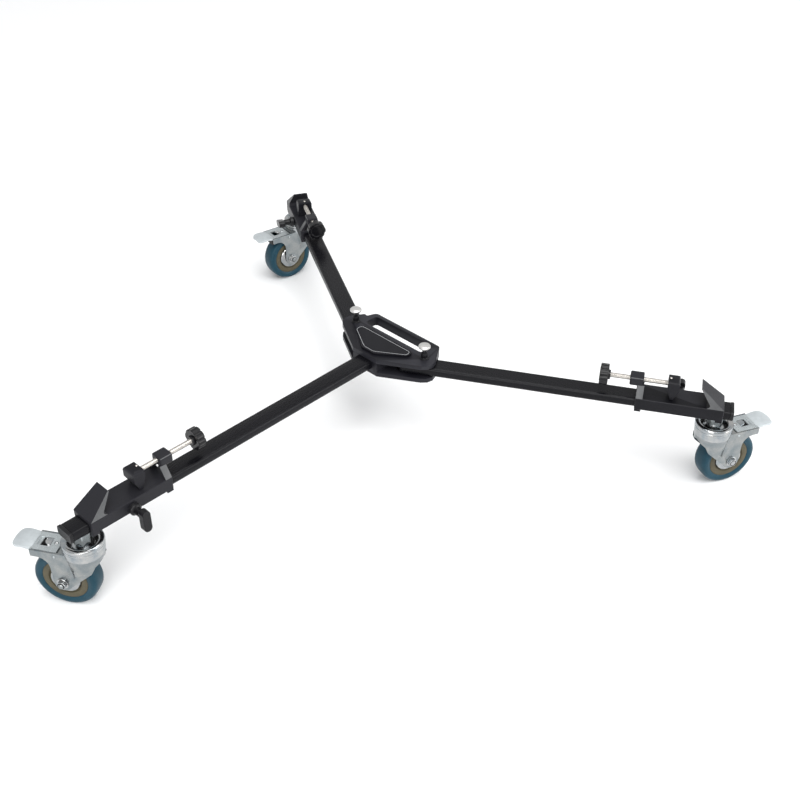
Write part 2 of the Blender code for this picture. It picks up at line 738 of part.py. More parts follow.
def screw_bridge_mesh():
    """The boss that the clamp screw runs in, on its pair of splayed legs."""
    inner = -CARRIAGE_LENGTH
    start = inner - BOSS_OVERHANG
    boss_low = SCREW_Z - BOSS_H / 2
    boss = block((start, -BOSS_W / 2, boss_low), (start + BOSS_LENGTH, BOSS_W / 2, boss_low + BOSS_H))
    mesh = bevelled(boss, BOSS_EDGE, 2)
    half = CARRIAGE_W / 2
    sunk = CARRIAGE_TOP - CARRIAGE_ROOF / 2
    joint = boss_low + BOSS_EDGE
    leg = [(half - GAP, sunk), (half - GAP, CARRIAGE_TOP), (BOSS_W / 2 - GAP, joint),
           (BOSS_W / 2 - LEG_T, joint), (half - LEG_T - GAP, CARRIAGE_TOP), (half - LEG_T - GAP, sunk)]
    mesh = join(mesh, prism(leg, inner + GAP, inner + LEG_LENGTH, "yz"))
    return join(mesh, prism(mirrored(leg), inner + GAP, inner + LEG_LENGTH, "yz"))


def carriage_mesh():
    half = CARRIAGE_W / 2
    beyond = CARRIAGE_W
    mesh = block((-CARRIAGE_LENGTH, -half, TUBE_Z), (0, half, CARRIAGE_TOP))
    mesh = bevelled(mesh, CARRIAGE_EDGE, 1)
    lip_low = TUBE_Z - GAP - CARRIAGE_LIP_T
    inset = CARRIAGE_EDGE
    for start in (-CARRIAGE_LENGTH + inset / 2, -CARRIAGE_LIP_LENGTH - inset / 2):
        lip_half = half - inset / 2
        lip = block((start, -lip_half, lip_low), (start + CARRIAGE_LIP_LENGTH, lip_half, TUBE_MID))
        mesh = join(mesh, lip)
    mesh = join(mesh, stop_mesh(), screw_bridge_mesh())
    mesh = cut(mesh, prism(tube_section(GAP), -CARRIAGE_LENGTH - beyond, beyond, "yz"))
    open_low = lip_low - CARRIAGE_LIP_T
    slot_low = (-CARRIAGE_LENGTH - beyond, -STEM_SLOT_HALF, open_low)
    mesh = cut(mesh, block(slot_low, (beyond, STEM_SLOT_HALF, TUBE_MID)))
    open_half = TUBE_W / 2 + GAP
    open_start = -CARRIAGE_LENGTH + CARRIAGE_LIP_LENGTH + inset
    open_end = -CARRIAGE_LIP_LENGTH - inset
    mesh = cut(mesh, block((open_start, -open_half, open_low), (open_end, open_half, TUBE_MID)))
    screw_hole = cylinder(SCREW_R + SCREW_CLEAR, (-CARRIAGE_LENGTH - beyond, 0, SCREW_Z), 2 * beyond, "x")
    lock_hole = cylinder(LOCK_R + SCREW_CLEAR, (-LOCK_FROM_END, 0, TUBE_MID), beyond, "y")
    return cut(mesh, screw_hole, lock_hole)


# Clamps: x is the screw's axis, and is 0 at the jaw's inner face

def jaw_mesh():
    """A block that leans to a blunt edge at its foot, with its crown rounded across the arm."""
    tip = CARRIAGE_TOP + JAW_CLEAR - SCREW_Z
    top = tip + JAW_H
    side = rounded(
        [(JAW_TIP_START, tip), (JAW_TIP_END, tip), (JAW_T, tip + JAW_OUTER_TAPER), (JAW_T, top), (0, top),
         (0, tip + JAW_INNER_TAPER)],
        [0, 0, 0, JAW_CROWN, JAW_CROWN / 3, 0],
    )
    mesh = prism(side, -JAW_W, JAW_W, "xz")
    half = JAW_W / 2
    front = [(-half, 2 * tip), (half, 2 * tip), (half, top), (-half, top)]
    front = rounded(front, [0, 0, JAW_SHOULDER, JAW_SHOULDER])
    mesh = common(mesh, prism(front, -JAW_W, 2 * JAW_W, "yz"))
    return cut(mesh, cylinder(SCREW_R + SCREW_CLEAR, (-JAW_T, 0, 0), JAW_T + JAW_BORE_DEPTH, "x"))


def clamp_screw_mesh():
    start = -SCREW_EXPOSED - CLAMP_KNOB_T + CLAMP_KNOB_HUB_T
    return cylinder(SCREW_R, (start, 0, 0), JAW_BORE_DEPTH - GAP - start, "x")


def clamp_knob_mesh():
    points = []
    count = CLAMP_KNOB_LOBES * LOBE_POINTS
    for index in range(count):
        angle = 2 * math.pi * index / count
        radius = CLAMP_KNOB_R + CLAMP_KNOB_WAVE * math.cos(CLAMP_KNOB_LOBES * angle)
        points.append((radius * math.cos(angle), radius * math.sin(angle)))
    face = -SCREW_EXPOSED - CLAMP_KNOB_HUB_T
    mesh = bevelled(prism(points, -SCREW_EXPOSED - CLAMP_KNOB_T, face, "yz"), CARRIAGE_EDGE, 1, 60)
    mesh = join(mesh, cylinder(CLAMP_KNOB_HUB_R, (face - CLAMP_KNOB_HUB_T, 0, 0), 2 * CLAMP_KNOB_HUB_T, "x"))
    depth = CLAMP_KNOB_T - CLAMP_KNOB_HUB_T + GAP
    return cut(mesh, cylinder(SCREW_R + GAP, (-SCREW_EXPOSED - depth, 0, 0), depth + SCREW_EXPOSED, "x"))


# Carriage locks: y is the screw's axis, measured from the tube's centre line

def lock_pad_mesh():
    return cylinder(LOCK_R, (0, TUBE_W / 2 + GAP, 0), LOCK_PAD_T, "y")


def lock_screw_mesh():
    """A screw with a collar and a one-sided wing."""
    start = TUBE_W / 2 + GAP + LOCK_PAD_T + GAP
    collar = CARRIAGE_W / 2 + 2 * GAP
    wing = LOCK_REACH - WING_DEPTH
    mesh = cylinder(LOCK_R, (0, start, 0), collar + LOCK_COLLAR_T / 2 - start, "y")
    mesh = join(mesh, cylinder(LOCK_COLLAR_R, (0, collar, 0), LOCK_COLLAR_T, "y"))
    neck_start = collar + LOCK_COLLAR_T / 2
    mesh = join(mesh, cylinder(LOCK_NECK_R, (0, neck_start, 0), wing + WING_DEPTH / 2 - neck_start, "y"))
    oval = rounded_box(WING_T / 2, WING_LENGTH / 2, WING_T / 2 - GAP, (0, -WING_DROP))
    return join(mesh, bevelled(prism(oval, wing, LOCK_REACH, "xz"), CARRIAGE_EDGE, 1, 60))


# Casters: x runs from the stem towards the wheel

def stem_mesh():
    top = TUBE_MID + TUBE_H / 2 - TUBE_WALL - GAP - PLUG_ROOF - GAP
    disc = HEAD_Z + HEAD_FLOOR + GAP
    foot = CROWN_Z - GAP
    seat = TUBE_Z - GAP
    mesh = turned([
        (0, top), (STEM_R, top), (STEM_R, seat - STEM_RISE / 2), (STEM_DISC_R, disc + STEM_DISC_T),
        (STEM_DISC_R, disc), (KINGPIN_R, disc), (KINGPIN_R, foot), (KINGPIN_FOOT_R, foot),
        (KINGPIN_FOOT_R, foot - KINGPIN_FOOT_T), (0, foot - KINGPIN_FOOT_T),
    ])
    start = disc + STEM_DISC_T / 2
    return join(mesh, cylinder(STEM_HEX_R, (0, 0, start), seat - start, "z", 6))


def swivel_head_mesh():
    bore = KINGPIN_R + KINGPIN_CLEAR
    low = HEAD_Z
    top = HEAD_TOP
    return turned([
        (bore, low + HEAD_FLOOR), (HEAD_WELL_R, low + HEAD_FLOOR),
        (HEAD_RIM_R - HEAD_CURVE / 2, top - HEAD_CURVE),
        (HEAD_RIM_R, top), (HEAD_RIM_R + HEAD_CURVE / 2, top), (HEAD_R - HEAD_CURVE / 2, top - HEAD_CURVE),
        (HEAD_R, top - 2 * HEAD_CURVE), (HEAD_R, low + HEAD_CURVE), (HEAD_R - HEAD_CURVE / 2, low),
        (bore, low),
    ], WHEEL_STEPS)


def fork_side():
    """Outline of a fork cheek in the plane of the wheel."""
    end = arc((TRAIL, AXLE_Z), FORK_END_R, 205, 350, 2 * ARC_STEPS)
    skirt = CROWN_Z - FORK_SKIRT_DROP
    front = [(-CROWN_R, CROWN_TOP), (-CROWN_R, CROWN_Z), (-CROWN_R * 0.55, skirt)]
    rear_low = CROWN_TOP - FORK_REAR_DROP
    knee = TRAIL + FORK_END_R
    hollow = arc((knee + FORK_HOLLOW_R, rear_low - FORK_HOLLOW_R), FORK_HOLLOW_R, 180, 95, 2 * ARC_STEPS)
    rear = [(FORK_REAR, rear_low), (FORK_REAR, CROWN_TOP)]
    return front + end + hollow + rear


def fork_plan():
    """From above: round under the swivel head, then straight back over the wheel."""
    turn = math.degrees(math.asin(FORK_OUTER / CROWN_R))
    head = arc((0, 0), CROWN_R, 180 - turn, 180 + turn, 4 * ARC_STEPS)
    return head + [(FORK_REAR, -FORK_OUTER), (FORK_REAR, FORK_OUTER)]


def fork_mesh():
    mesh = prism(fork_side(), -2 * FORK_OUTER, 2 * FORK_OUTER, "xz")
    mesh = common(mesh, prism(fork_plan(), 0, 2 * CROWN_TOP))
    mesh = join(mesh, cylinder(CROWN_R - GAP, (0, 0, CROWN_Z - GAP), CROWN_T, "z", WHEEL_STEPS))
    skirt_low = CROWN_Z - FORK_SKIRT_DROP + GAP
    skirt = cylinder(FORK_SKIRT_R, (0, 0, skirt_low), FORK_SKIRT_DROP, "z", WHEEL_STEPS, CROWN_R - 2 * GAP)
    mesh = join(mesh, skirt)
    beyond = FORK_REAR
    wheel_space = block((-beyond, -FORK_INNER, -beyond), (2 * beyond, FORK_INNER, CROWN_Z))
    rear_start = LEVER_PIVOT - LEVER_PIN_R - CROWN_T
    space_high = (2 * beyond, FORK_INNER, CROWN_TOP + beyond)
    lever_space = block((rear_start, -FORK_INNER, CROWN_Z - CROWN_T), space_high)
    king_hole = cylinder(KINGPIN_R + KINGPIN_CLEAR, (0, 0, CROWN_Z - beyond), 2 * beyond)
    axle_hole = cylinder(AXLE_R + AXLE_CLEAR, (TRAIL, -beyond, AXLE_Z), 2 * beyond, "y")
    pivot_hole = cylinder(LEVER_PIN_R + AXLE_CLEAR, (LEVER_PIVOT, -beyond, BRAKE_Z), 2 * beyond, "y")
    return cut(mesh, wheel_space, lever_space, king_hole, axle_hole, pivot_hole)


def brake_lever_mesh():
    """The steel lever between the fork's cheeks, its cross pin and the pad over the tyre."""
    half = FORK_INNER - LEVER_SIDE_CLEAR
    pivot_z = BRAKE_Z
    top = CROWN_TOP + GAP
    start = LEVER_PIVOT - LEVER_PIN_R - GAP
    mesh = block((start, -half, top - LEVER_T), (FORK_REAR, half, top))
    window_start = LEVER_PIVOT + WINDOW_FROM_PIVOT
    window_high = (window_start + WINDOW_LENGTH, WINDOW_W / 2, top + LEVER_T)
    window = block((window_start, -WINDOW_W / 2, top - 2 * LEVER_T), window_high)
    mesh = cut(mesh, window)
    for side in (-1, 1):
        low = (start, min(side * half, side * (half - LEVER_T)), pivot_z - LEVER_EAR_DROP)
        high = (LEVER_PIVOT + 3 * LEVER_PIN_R, max(side * half, side * (half - LEVER_T)), top - LEVER_T / 2)
        mesh = join(mesh, block(low, high))
    pin_half = FORK_OUTER + GAP
    mesh = join(mesh, cylinder(LEVER_PIN_R, (LEVER_PIVOT, -pin_half, pivot_z), 2 * pin_half, "y"))
    tyre_top = AXLE_Z + math.sqrt((WHEEL_D / 2) ** 2 - (PAD_AT - TRAIL) ** 2)
    pad_low = (PAD_AT, -PAD_W / 2, tyre_top + PAD_CLEAR)
    pad = block(pad_low, (PAD_AT + PAD_LENGTH, PAD_W / 2, top - LEVER_T / 2))
    return moved(join(mesh, pad), (-LEVER_PIVOT, 0, -BRAKE_Z))


def pedal_mesh():
    start = FORK_REAR + GAP
    top = CROWN_TOP + GAP
    steps = 2 * ARC_STEPS
    upper = []
    lower = []
    for index in range(steps + 1):
        share = index / steps
        along = start + PEDAL_LENGTH * share
        height = top - PEDAL_DROP * share ** 1.6
        upper.append((along, height))
        lower.append((along, height - PEDAL_T * (1 - 0.35 * share)))
    mesh = prism(upper + lower[::-1], -PEDAL_W, PEDAL_W, "xz")
    half = PEDAL_W / 2
    plan = rounded(
        [(start - PEDAL_T, -half), (start + PEDAL_LENGTH, -half), (start + PEDAL_LENGTH, half),
         (start - PEDAL_T, half)],
        [0, PEDAL_RADIUS, PEDAL_RADIUS, 0],
    )
    return moved(common(mesh, prism(plan, 0, 2 * top)), (-LEVER_PIVOT, 0, -BRAKE_Z))


def tyre_mesh():
    outer = WHEEL_D / 2
    half = TYRE_W / 2
    bore = TYRE_BORE_R
    shoulder = TYRE_SHOULDER
    side = CORE_RIM_W / 2
    crown = [
        (outer - shoulder, half), (outer - shoulder * 0.35, half - shoulder * 0.3), (outer, half - shoulder),
    ]
    lower = [(radius, -height) for radius, height in reversed(crown)]
    return turned([(bore, side)] + crown + lower + [(bore, -side)], WHEEL_STEPS)


def wheel_core_mesh():
    """Rim, dust groove, thread guard and hub of the wheel, with the bore for the axle."""
    rim = TYRE_BORE_R - GAP
    bore = AXLE_R + AXLE_CLEAR
    upper = [
        (bore, WHEEL_HUB_W / 2), (HUB_FACE_R, WHEEL_HUB_W / 2), (GUARD_R, CORE_RIM_W / 2),
        (GUARD_R, CORE_RIM_W / 2 - CORE_GROOVE_DEPTH), (CORE_GROOVE_R, CORE_RIM_W / 2 - CORE_GROOVE_DEPTH),
        (CORE_GROOVE_R, CORE_RIM_W / 2), (rim, CORE_RIM_W / 2),
    ]
    lower = [(radius, -height) for radius, height in reversed(upper)]
    return turned(upper + lower, WHEEL_STEPS)


def axle_bolt_mesh():
    outer = FORK_OUTER + GAP
    length = 2 * (outer + AXLE_NUT_T) - AXLE_NUT_T
    mesh = cylinder(AXLE_R, (0, -length / 2, 0), length, "y")
    for start in (-outer - AXLE_NUT_T, outer):
        mesh = join(mesh, cylinder(AXLE_NUT_R, (0, start, 0), AXLE_NUT_T, "y", 6))
    return mesh


# Assembly

def build_hub(frame):
    add_part("hub_bottom", hub_bottom_mesh(), BLACK_PAINT, frame)
    add_part("hub_top", hub_top_mesh(), BLACK_PAINT, frame)
    panel = bevelled(prism(panel_outline(), HUB_TOP + GAP, DECK_Z), PLATE_EDGE / 2, 1, 60)
    add_part("label_panel", panel, BLACK_PAINT, frame)
    bolt = through_bolt_mesh()
    names = {"A": "socket_bolt_A", "B": "pivot_bolt_B", "C": "pivot_bolt_C"}
    for arm, point in through_bolt_points().items():
        add_part(names[arm], bolt, STEEL, frame, (*point, 0))
    bush = bush_mesh()
    pin = pull_pin_mesh()
    spring = pin_spring_mesh()
    for arm in FOLDING:
        point = (*arm_point(arm, PIN_REACH), 0)
        axis = add_empty("pull_axis_" + arm, frame, point)
        add_part("pin_bush_" + arm, bush, BLACK_PLASTIC, axis)
        add_part("pull_pin_" + arm, pin, STEEL, axis)
        add_part("pin_spring_" + arm, spring, STEEL, axis)


def build_arm(arm, frame, meshes):
    angle = math.radians(ARM_ANGLE[arm])
    pivot = PIVOT_REACH if arm in FOLDING else 0.0
    axis = add_empty("arm_axis_" + arm, frame, (*arm_point(arm, pivot), 0), angle)
    back = (-pivot, 0, 0)
    tube = meshes["folding_tube"] if arm in FOLDING else meshes["fixed_tube"]
    add_part("arm_tube_" + arm, tube, BLACK_ANODISED, axis, back)
    add_part("end_plug_" + arm, meshes["plug"], BLACK_PLASTIC, axis, back)
    build_carriage(arm, axis, pivot, meshes)
    build_caster(arm, axis, pivot, meshes)


def build_carriage(arm, axis, pivot, meshes):
    outer_end = STEM_REACH + CARRIAGE_PAST_STEM[arm]
    holder = add_empty("carriage_axis_" + arm, axis, (outer_end - pivot, 0, 0))
    add_part("carriage_" + arm, meshes["carriage"], BLACK_PAINT, holder)
    clamp = add_empty("clamp_axis_" + arm, holder, (-JAW_OPENING[arm], 0, SCREW_Z))
    add_part("clamp_jaw_" + arm, meshes["jaw"], BLACK_PAINT, clamp)
    add_part("clamp_screw_" + arm, meshes["clamp_screw"], STEEL, clamp)
    add_part("clamp_knob_" + arm, meshes["clamp_knob"], BLACK_PLASTIC, clamp)
    lock = add_empty("lock_axis_" + arm, holder, (-LOCK_FROM_END, 0, TUBE_MID))
    add_part("lock_pad_" + arm, meshes["lock_pad"], BRASS, lock)
    rest = (0, math.radians(LOCK_REST[arm]), 0)
    add_part("lock_screw_" + arm, meshes["lock_screw"], BLACK_PLASTIC, lock, (0, 0, 0), rest)


def build_caster(arm, axis, pivot, meshes):
    turn = math.radians(CASTER_YAW[arm] - ARM_ANGLE[arm])
    swivel = add_empty("swivel_axis_" + arm, axis, (STEM_REACH - pivot, 0, 0), turn)
    add_part("caster_stem_" + arm, meshes["stem"], ZINC, swivel, (0, 0, 0), (0, 0, -turn))
    add_part("swivel_head_" + arm, meshes["head"], ZINC, swivel)
    add_part("fork_" + arm, meshes["fork"], ZINC, swivel)
    brake = add_empty("brake_axis_" + arm, swivel, (LEVER_PIVOT, 0, BRAKE_Z))
    add_part("brake_lever_" + arm, meshes["lever"], ZINC, brake)
    add_part("brake_pedal_" + arm, meshes["pedal"], PALE_PEDAL, brake)
    wheel = add_empty("wheel_axis_" + arm, swivel, (TRAIL, 0, AXLE_Z))
    upright = (math.radians(90), 0, 0)
    add_part("tyre_" + arm, meshes["tyre"], BLUE_RUBBER, wheel, (0, 0, 0), upright)
    add_part("wheel_core_" + arm, meshes["core"], OLIVE_PLASTIC, wheel, (0, 0, 0), upright)
    add_part("axle_bolt_" + arm, meshes["axle_bolt"], ZINC, wheel)


def build_dolly():
    frame = add_empty("dolly_frame", None, (0, 0, -DECK_Z))
    build_hub(frame)
    meshes = {
        "fixed_tube": fixed_tube_mesh(),
        "folding_tube": folding_tube_mesh(),
        "plug": plug_mesh(),
        "carriage": carriage_mesh(),
        "jaw": jaw_mesh(),
        "clamp_screw": clamp_screw_mesh(),
        "clamp_knob": clamp_knob_mesh(),
        "lock_pad": lock_pad_mesh(),
        "lock_screw": lock_screw_mesh(),
        "stem": stem_mesh(),
        "head": swivel_head_mesh(),
        "fork": fork_mesh(),
        "lever": brake_lever_mesh(),
        "pedal": pedal_mesh(),
        "tyre": tyre_mesh(),
        "core": wheel_core_mesh(),
        "axle_bolt": axle_bolt_mesh(),
    }
    for arm in ARMS:
        build_arm(arm, frame, meshes)


clear_scene()
PARTS = new_collection("tripod_dolly")
TOOLS = new_collection("cutters")
build_dolly()
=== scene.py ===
"""Look of the tripod dolly: finer pieces, materials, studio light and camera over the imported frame."""
import math

import bmesh
import bpy
from mathutils import Matrix, Vector


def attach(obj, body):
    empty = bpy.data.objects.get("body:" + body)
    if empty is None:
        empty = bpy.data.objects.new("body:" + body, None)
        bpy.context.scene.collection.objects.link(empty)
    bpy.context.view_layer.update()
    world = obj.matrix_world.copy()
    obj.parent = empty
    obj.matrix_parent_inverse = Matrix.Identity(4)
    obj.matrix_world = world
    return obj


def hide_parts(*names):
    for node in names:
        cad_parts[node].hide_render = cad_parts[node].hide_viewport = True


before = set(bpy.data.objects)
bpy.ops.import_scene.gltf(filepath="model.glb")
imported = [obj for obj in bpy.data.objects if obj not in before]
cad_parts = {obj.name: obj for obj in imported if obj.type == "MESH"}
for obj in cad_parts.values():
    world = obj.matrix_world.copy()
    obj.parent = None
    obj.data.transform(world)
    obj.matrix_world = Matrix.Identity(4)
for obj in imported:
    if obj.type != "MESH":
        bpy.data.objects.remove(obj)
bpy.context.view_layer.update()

# Sizes and places are in millimetres and degrees. Arm A is the fixed one.
MM = 0.001
ARMS = "ABC"
FOLDING = "BC"
ARM_ANGLE = {"A": -90.0, "B": 150.0, "C": 30.0}
GAP = 0.3                                   # between pieces that touch

# Places along an arm, from the hub's centre
PIN_REACH = 72.0
STEM_REACH = 442.0
PLUG_END = STEM_REACH + 19.5
CARRIAGE_PAST_STEM = {"A": -5.0, "B": 8.0, "C": 7.0}
JAW_OPENING = {"A": 77.5, "B": 64.0, "C": 71.0}   # from a jaw's inner face to its carriage's outer end
LOCK_FROM_END = 52.5                        # from a lock screw's axis to its carriage's outer end

# Lock screws
LOCK_REST = {"A": 0.0, "B": 108.0, "C": 0.0}      # how far each wing is turned
LOCK_REACH = 43.0                           # from the tube's centre line to the wing's face

# Heights over the floor
TUBE_LOW = 108.6
TUBE_MID = TUBE_LOW + 6.0
TUBE_TOP = TUBE_LOW + 12.0
HUB_TOP = TUBE_TOP + 7.0
DECK = HUB_TOP + GAP + 2.7                  # face of the label field, which is the frame's zero
PIN_FOOT = TUBE_TOP + 0.6
KNOB_TOP = HUB_TOP + 20.5
CARRIAGE_TOP = TUBE_TOP + GAP + 4.1
SCREW_Z = CARRIAGE_TOP + 18.5

# Clamp screw and knob, back from the jaw's inner face
SCREW_EXPOSED = 70.0
CLAMP_KNOB_T = 13.0

# Casters: the stem's axis is x = 0, and the wheel trails towards +x
CASTER_YAW = {"A": 211.0, "B": 260.0, "C": 64.0}
AXLE_Z = 37.5
TRAIL = 25.6
CROWN_LOW = 79.5
CROWN_TOP = CROWN_LOW + 2.5
RACE_BASE = CROWN_TOP + GAP
RACE_FLOOR = RACE_BASE + 5.7
STEM_BASE = RACE_FLOOR + GAP
LEVER_TOP = CROWN_TOP + GAP
FORK_OUTER = 16.3                           # half the width over the fork's cheeks

# Camera, fitted to the photo
CAMERA_AZIMUTH = 43.3106
CAMERA_ELEVATION = 36.826
CAMERA_ROLL = 0.614
CAMERA_LENS = 50.54
CAMERA_SENSOR = 36.0
CAMERA_X = 854.54
CAMERA_Y = -848.87
CAMERA_HEIGHT = 948.99

SMOOTH_ANGLE = math.radians(30)             # edges sharper than this stay sharp
ALONG_X = Matrix.Rotation(math.radians(90), 4, "Y")
ALONG_Y = Matrix.Rotation(math.radians(-90), 4, "X")


# Places, each a matrix that takes heights from the floor

def arm_frame(arm):
    turn = Matrix.Rotation(math.radians(ARM_ANGLE[arm]), 4, "Z")
    return Matrix.Translation((0, 0, -DECK * MM)) @ turn


def shift(along, across=0.0, up=0.0):
    return Matrix.Translation((along * MM, across * MM, up * MM))


def pin_frame(arm):
    return arm_frame(arm) @ shift(PIN_REACH)


def carriage_end(arm):
    return STEM_REACH + CARRIAGE_PAST_STEM[arm]


def clamp_frame(arm):
    return arm_frame(arm) @ shift(carriage_end(arm) - JAW_OPENING[arm], 0, SCREW_Z)


def lock_frame(arm):
    turn = Matrix.Rotation(math.radians(LOCK_REST[arm]), 4, "Y")
    return arm_frame(arm) @ shift(carriage_end(arm) - LOCK_FROM_END, 0, TUBE_MID) @ turn


def caster_frame(arm):
    turn = math.radians(CASTER_YAW[arm] - ARM_ANGLE[arm])
    return arm_frame(arm) @ shift(STEM_REACH) @ Matrix.Rotation(turn, 4, "Z")


def axle_frame(arm):
    return caster_frame(arm) @ shift(TRAIL, 0, AXLE_Z) @ ALONG_Y


def arm_body(arm):
    return "hub" if arm == "A" else "arm_" + arm


# Meshes, drawn in millimetres

def new_piece(name, shape, place, finish, body, bevel=0.0, segments=2, angle=SMOOTH_ANGLE):
    mesh = bpy.data.meshes.new(name)
    bmesh.ops.recalc_face_normals(shape, faces=shape.faces)
    bmesh.ops.scale(shape, vec=(MM, MM, MM), verts=shape.verts)
    bmesh.ops.transform(shape, matrix=place, verts=shape.verts)
    shape.to_mesh(mesh)
    shape.free()
    return add_mesh(name, mesh, finish, body, bevel, segments, angle)


def add_mesh(name, mesh, finish, body, bevel, segments, angle):
    piece = bpy.data.objects.new(name, mesh)
    bpy.context.scene.collection.objects.link(piece)
    mesh.materials.clear()
    mesh.materials.append(finish)
    mesh.shade_smooth()
    mesh.set_sharp_from_angle(angle=angle)
    if bevel:
        change = piece.modifiers.new("edge", "BEVEL")
        change.width = bevel * MM
        change.segments = segments
        change.limit_method = "ANGLE"
        change.angle_limit = angle
        change.harden_normals = False
    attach(piece, body)
    return piece


def lathe(profile, steps=64):
    """A turned solid about z from (radius, height) points; a ring, where they start off the axis."""
    shape = bmesh.new()
    rings = []
    for radius, height in profile:
        if radius <= 0:
            rings.append([shape.verts.new((0, 0, height))])
            continue
        ring = []
        for step in range(steps):
            angle = 2 * math.pi * step / steps
            ring.append(shape.verts.new((radius * math.cos(angle), radius * math.sin(angle), height)))
        rings.append(ring)
    pairs = list(zip(rings, rings[1:]))
    if profile[0][0] > 0:
        pairs.append((rings[-1], rings[0]))
    for upper, lower in pairs:
        for step in range(steps):
            after = (step + 1) % steps
            corners = []
            for ring, index in ((upper, step), (upper, after), (lower, after), (lower, step)):
                vert = ring[index % len(ring)]
                if vert not in corners:
                    corners.append(vert)
            if len(corners) > 2:
                shape.faces.new(corners)
    return shape


def square_ring(inner, outer, first, last, steps):
    """A turned ring of rectangular section between two heights."""
    return lathe([(inner, first), (outer, first), (outer, last), (inner, last)], steps)


def prism(outline, low, high, axis="z"):
    """An outline extruded from low to high. Axis z takes (x, y), y takes (x, z) and x takes (y, z)."""
    shape = bmesh.new()
    ends = []
    for level in (low, high):
        if axis == "z":
            points = [(a, b, level) for a, b in outline]
        elif axis == "y":
            points = [(a, level, b) for a, b in outline]
        else:
            points = [(level, a, b) for a, b in outline]
        ends.append([shape.verts.new(point) for point in points])
    shape.faces.new(ends[0])
    shape.faces.new(ends[1][::-1])
    count = len(outline)
    for index in range(count):
        after = (index + 1) % count
        shape.faces.new((ends[0][index], ends[1][index], ends[1][after], ends[0][after]))
    return shape


def shell(outer_points, inner_points):
    """A curved plate between two grids of points, each a list of columns."""
    shape = bmesh.new()
    outer, inner = [[[shape.verts.new(point) for point in column] for column in grid]
                    for grid in (outer_points, inner_points)]
    columns = len(outer) - 1
    rows = len(outer[0]) - 1
    for column in range(columns):
        after = column + 1
        for row in range(rows):
            for grid in (outer, inner):
                shape.faces.new((grid[column][row], grid[after][row], grid[after][row + 1],
                                 grid[column][row + 1]))
        for row in (0, rows):
            shape.faces.new((outer[column][row], outer[after][row], inner[after][row], inner[column][row]))
    for column in (0, columns):
        for row in range(rows):
            shape.faces.new((outer[column][row], outer[column][row + 1], inner[column][row + 1],
                             inner[column][row]))
    return shape


def arc(centre, radius, start, end, steps):
    points = []
    for index in range(steps + 1):
        angle = math.radians(start + (end - start) * index / steps)
        points.append((centre[0] + radius * math.cos(angle), centre[1] + radius * math.sin(angle)))
    return points


def hexagon(radius):
    return arc((0, 0), radius, 0, 300, 5)


def rounded_box(half_wide, half_high, radius, middle=(0, 0), steps=6):
    points = []
    for corner, (side_x, side_y) in enumerate(((1, 1), (-1, 1), (-1, -1), (1, -1))):
        centre = (middle[0] + side_x * (half_wide - radius), middle[1] + side_y * (half_high - radius))
        points += arc(centre, radius, 90 * corner, 90 * corner + 90, steps)
    return points


def rounded(corners, radii, steps):
    """An outline with each corner rounded by its own radius."""
    points = []
    count = len(corners)
    for index, corner in enumerate(corners):
        here = Vector(corner)
        before = (Vector(corners[index - 1]) - here).normalized()
        after = (Vector(corners[(index + 1) % count]) - here).normalized()
        radius = radii[index]
        half = before.angle(after) / 2
        centre = here + (before + after).normalized() * radius / math.sin(half)
        first = here + before * radius / math.tan(half) - centre
        last = here + after * radius / math.tan(half) - centre
        start = math.atan2(first.y, first.x)
        sweep = (math.atan2(last.y, last.x) - start + math.pi) % (2 * math.pi) - math.pi
        for step in range(steps + 1):
            angle = start + sweep * step / steps
            points.append((centre.x + radius * math.cos(angle), centre.y + radius * math.sin(angle)))
    return points


def mirrored(half):
    """A profile from its upper half."""
    return half + [(radius, -height) for radius, height in reversed(half)]


def welded_copy(node, name):
    """The node's own shape with its faces joined up again, so that its edges can be rounded."""
    same_place = 0.002 * MM
    same_plane = math.radians(0.6)
    shape = bmesh.new()
    shape.from_mesh(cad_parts[node].data)
    bmesh.ops.remove_doubles(shape, verts=shape.verts, dist=same_place)
    bmesh.ops.dissolve_limit(shape, angle_limit=same_plane, verts=shape.verts, edges=shape.edges)
    mesh = bpy.data.meshes.new(name)
    shape.to_mesh(mesh)
    shape.free()
    return mesh


def dress(node, body, finish, bevel, segments=2, angle=SMOOTH_ANGLE):
    """The CAD node again, with softened edges and its finish."""
    name = node + "_finish"
    piece = add_mesh(name, welded_copy(node, name), finish, body, bevel, segments, angle)
    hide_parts(node)
    return piece


# Materials

NOISE_LOW, NOISE_HIGH = 0.3, 0.7            # the part of a noise's range that is used
EDGE_START, EDGE_FULL = 0.515, 0.56         # the pointiness at which rubbing and the painted edge highlight start, and are full
RUB_AND_SHEEN_GAIN, RUB_AND_SHEEN_LIFT = 4, 0.03                # how much lighter than the colour a rubbed edge with its painted highlight is
LEAST_ROUGHNESS = 0.03
MIX_FACTOR, MIX_FROM, MIX_TO, MIX_RESULT = 0, 6, 7, 2   # colour sockets of a Mix node


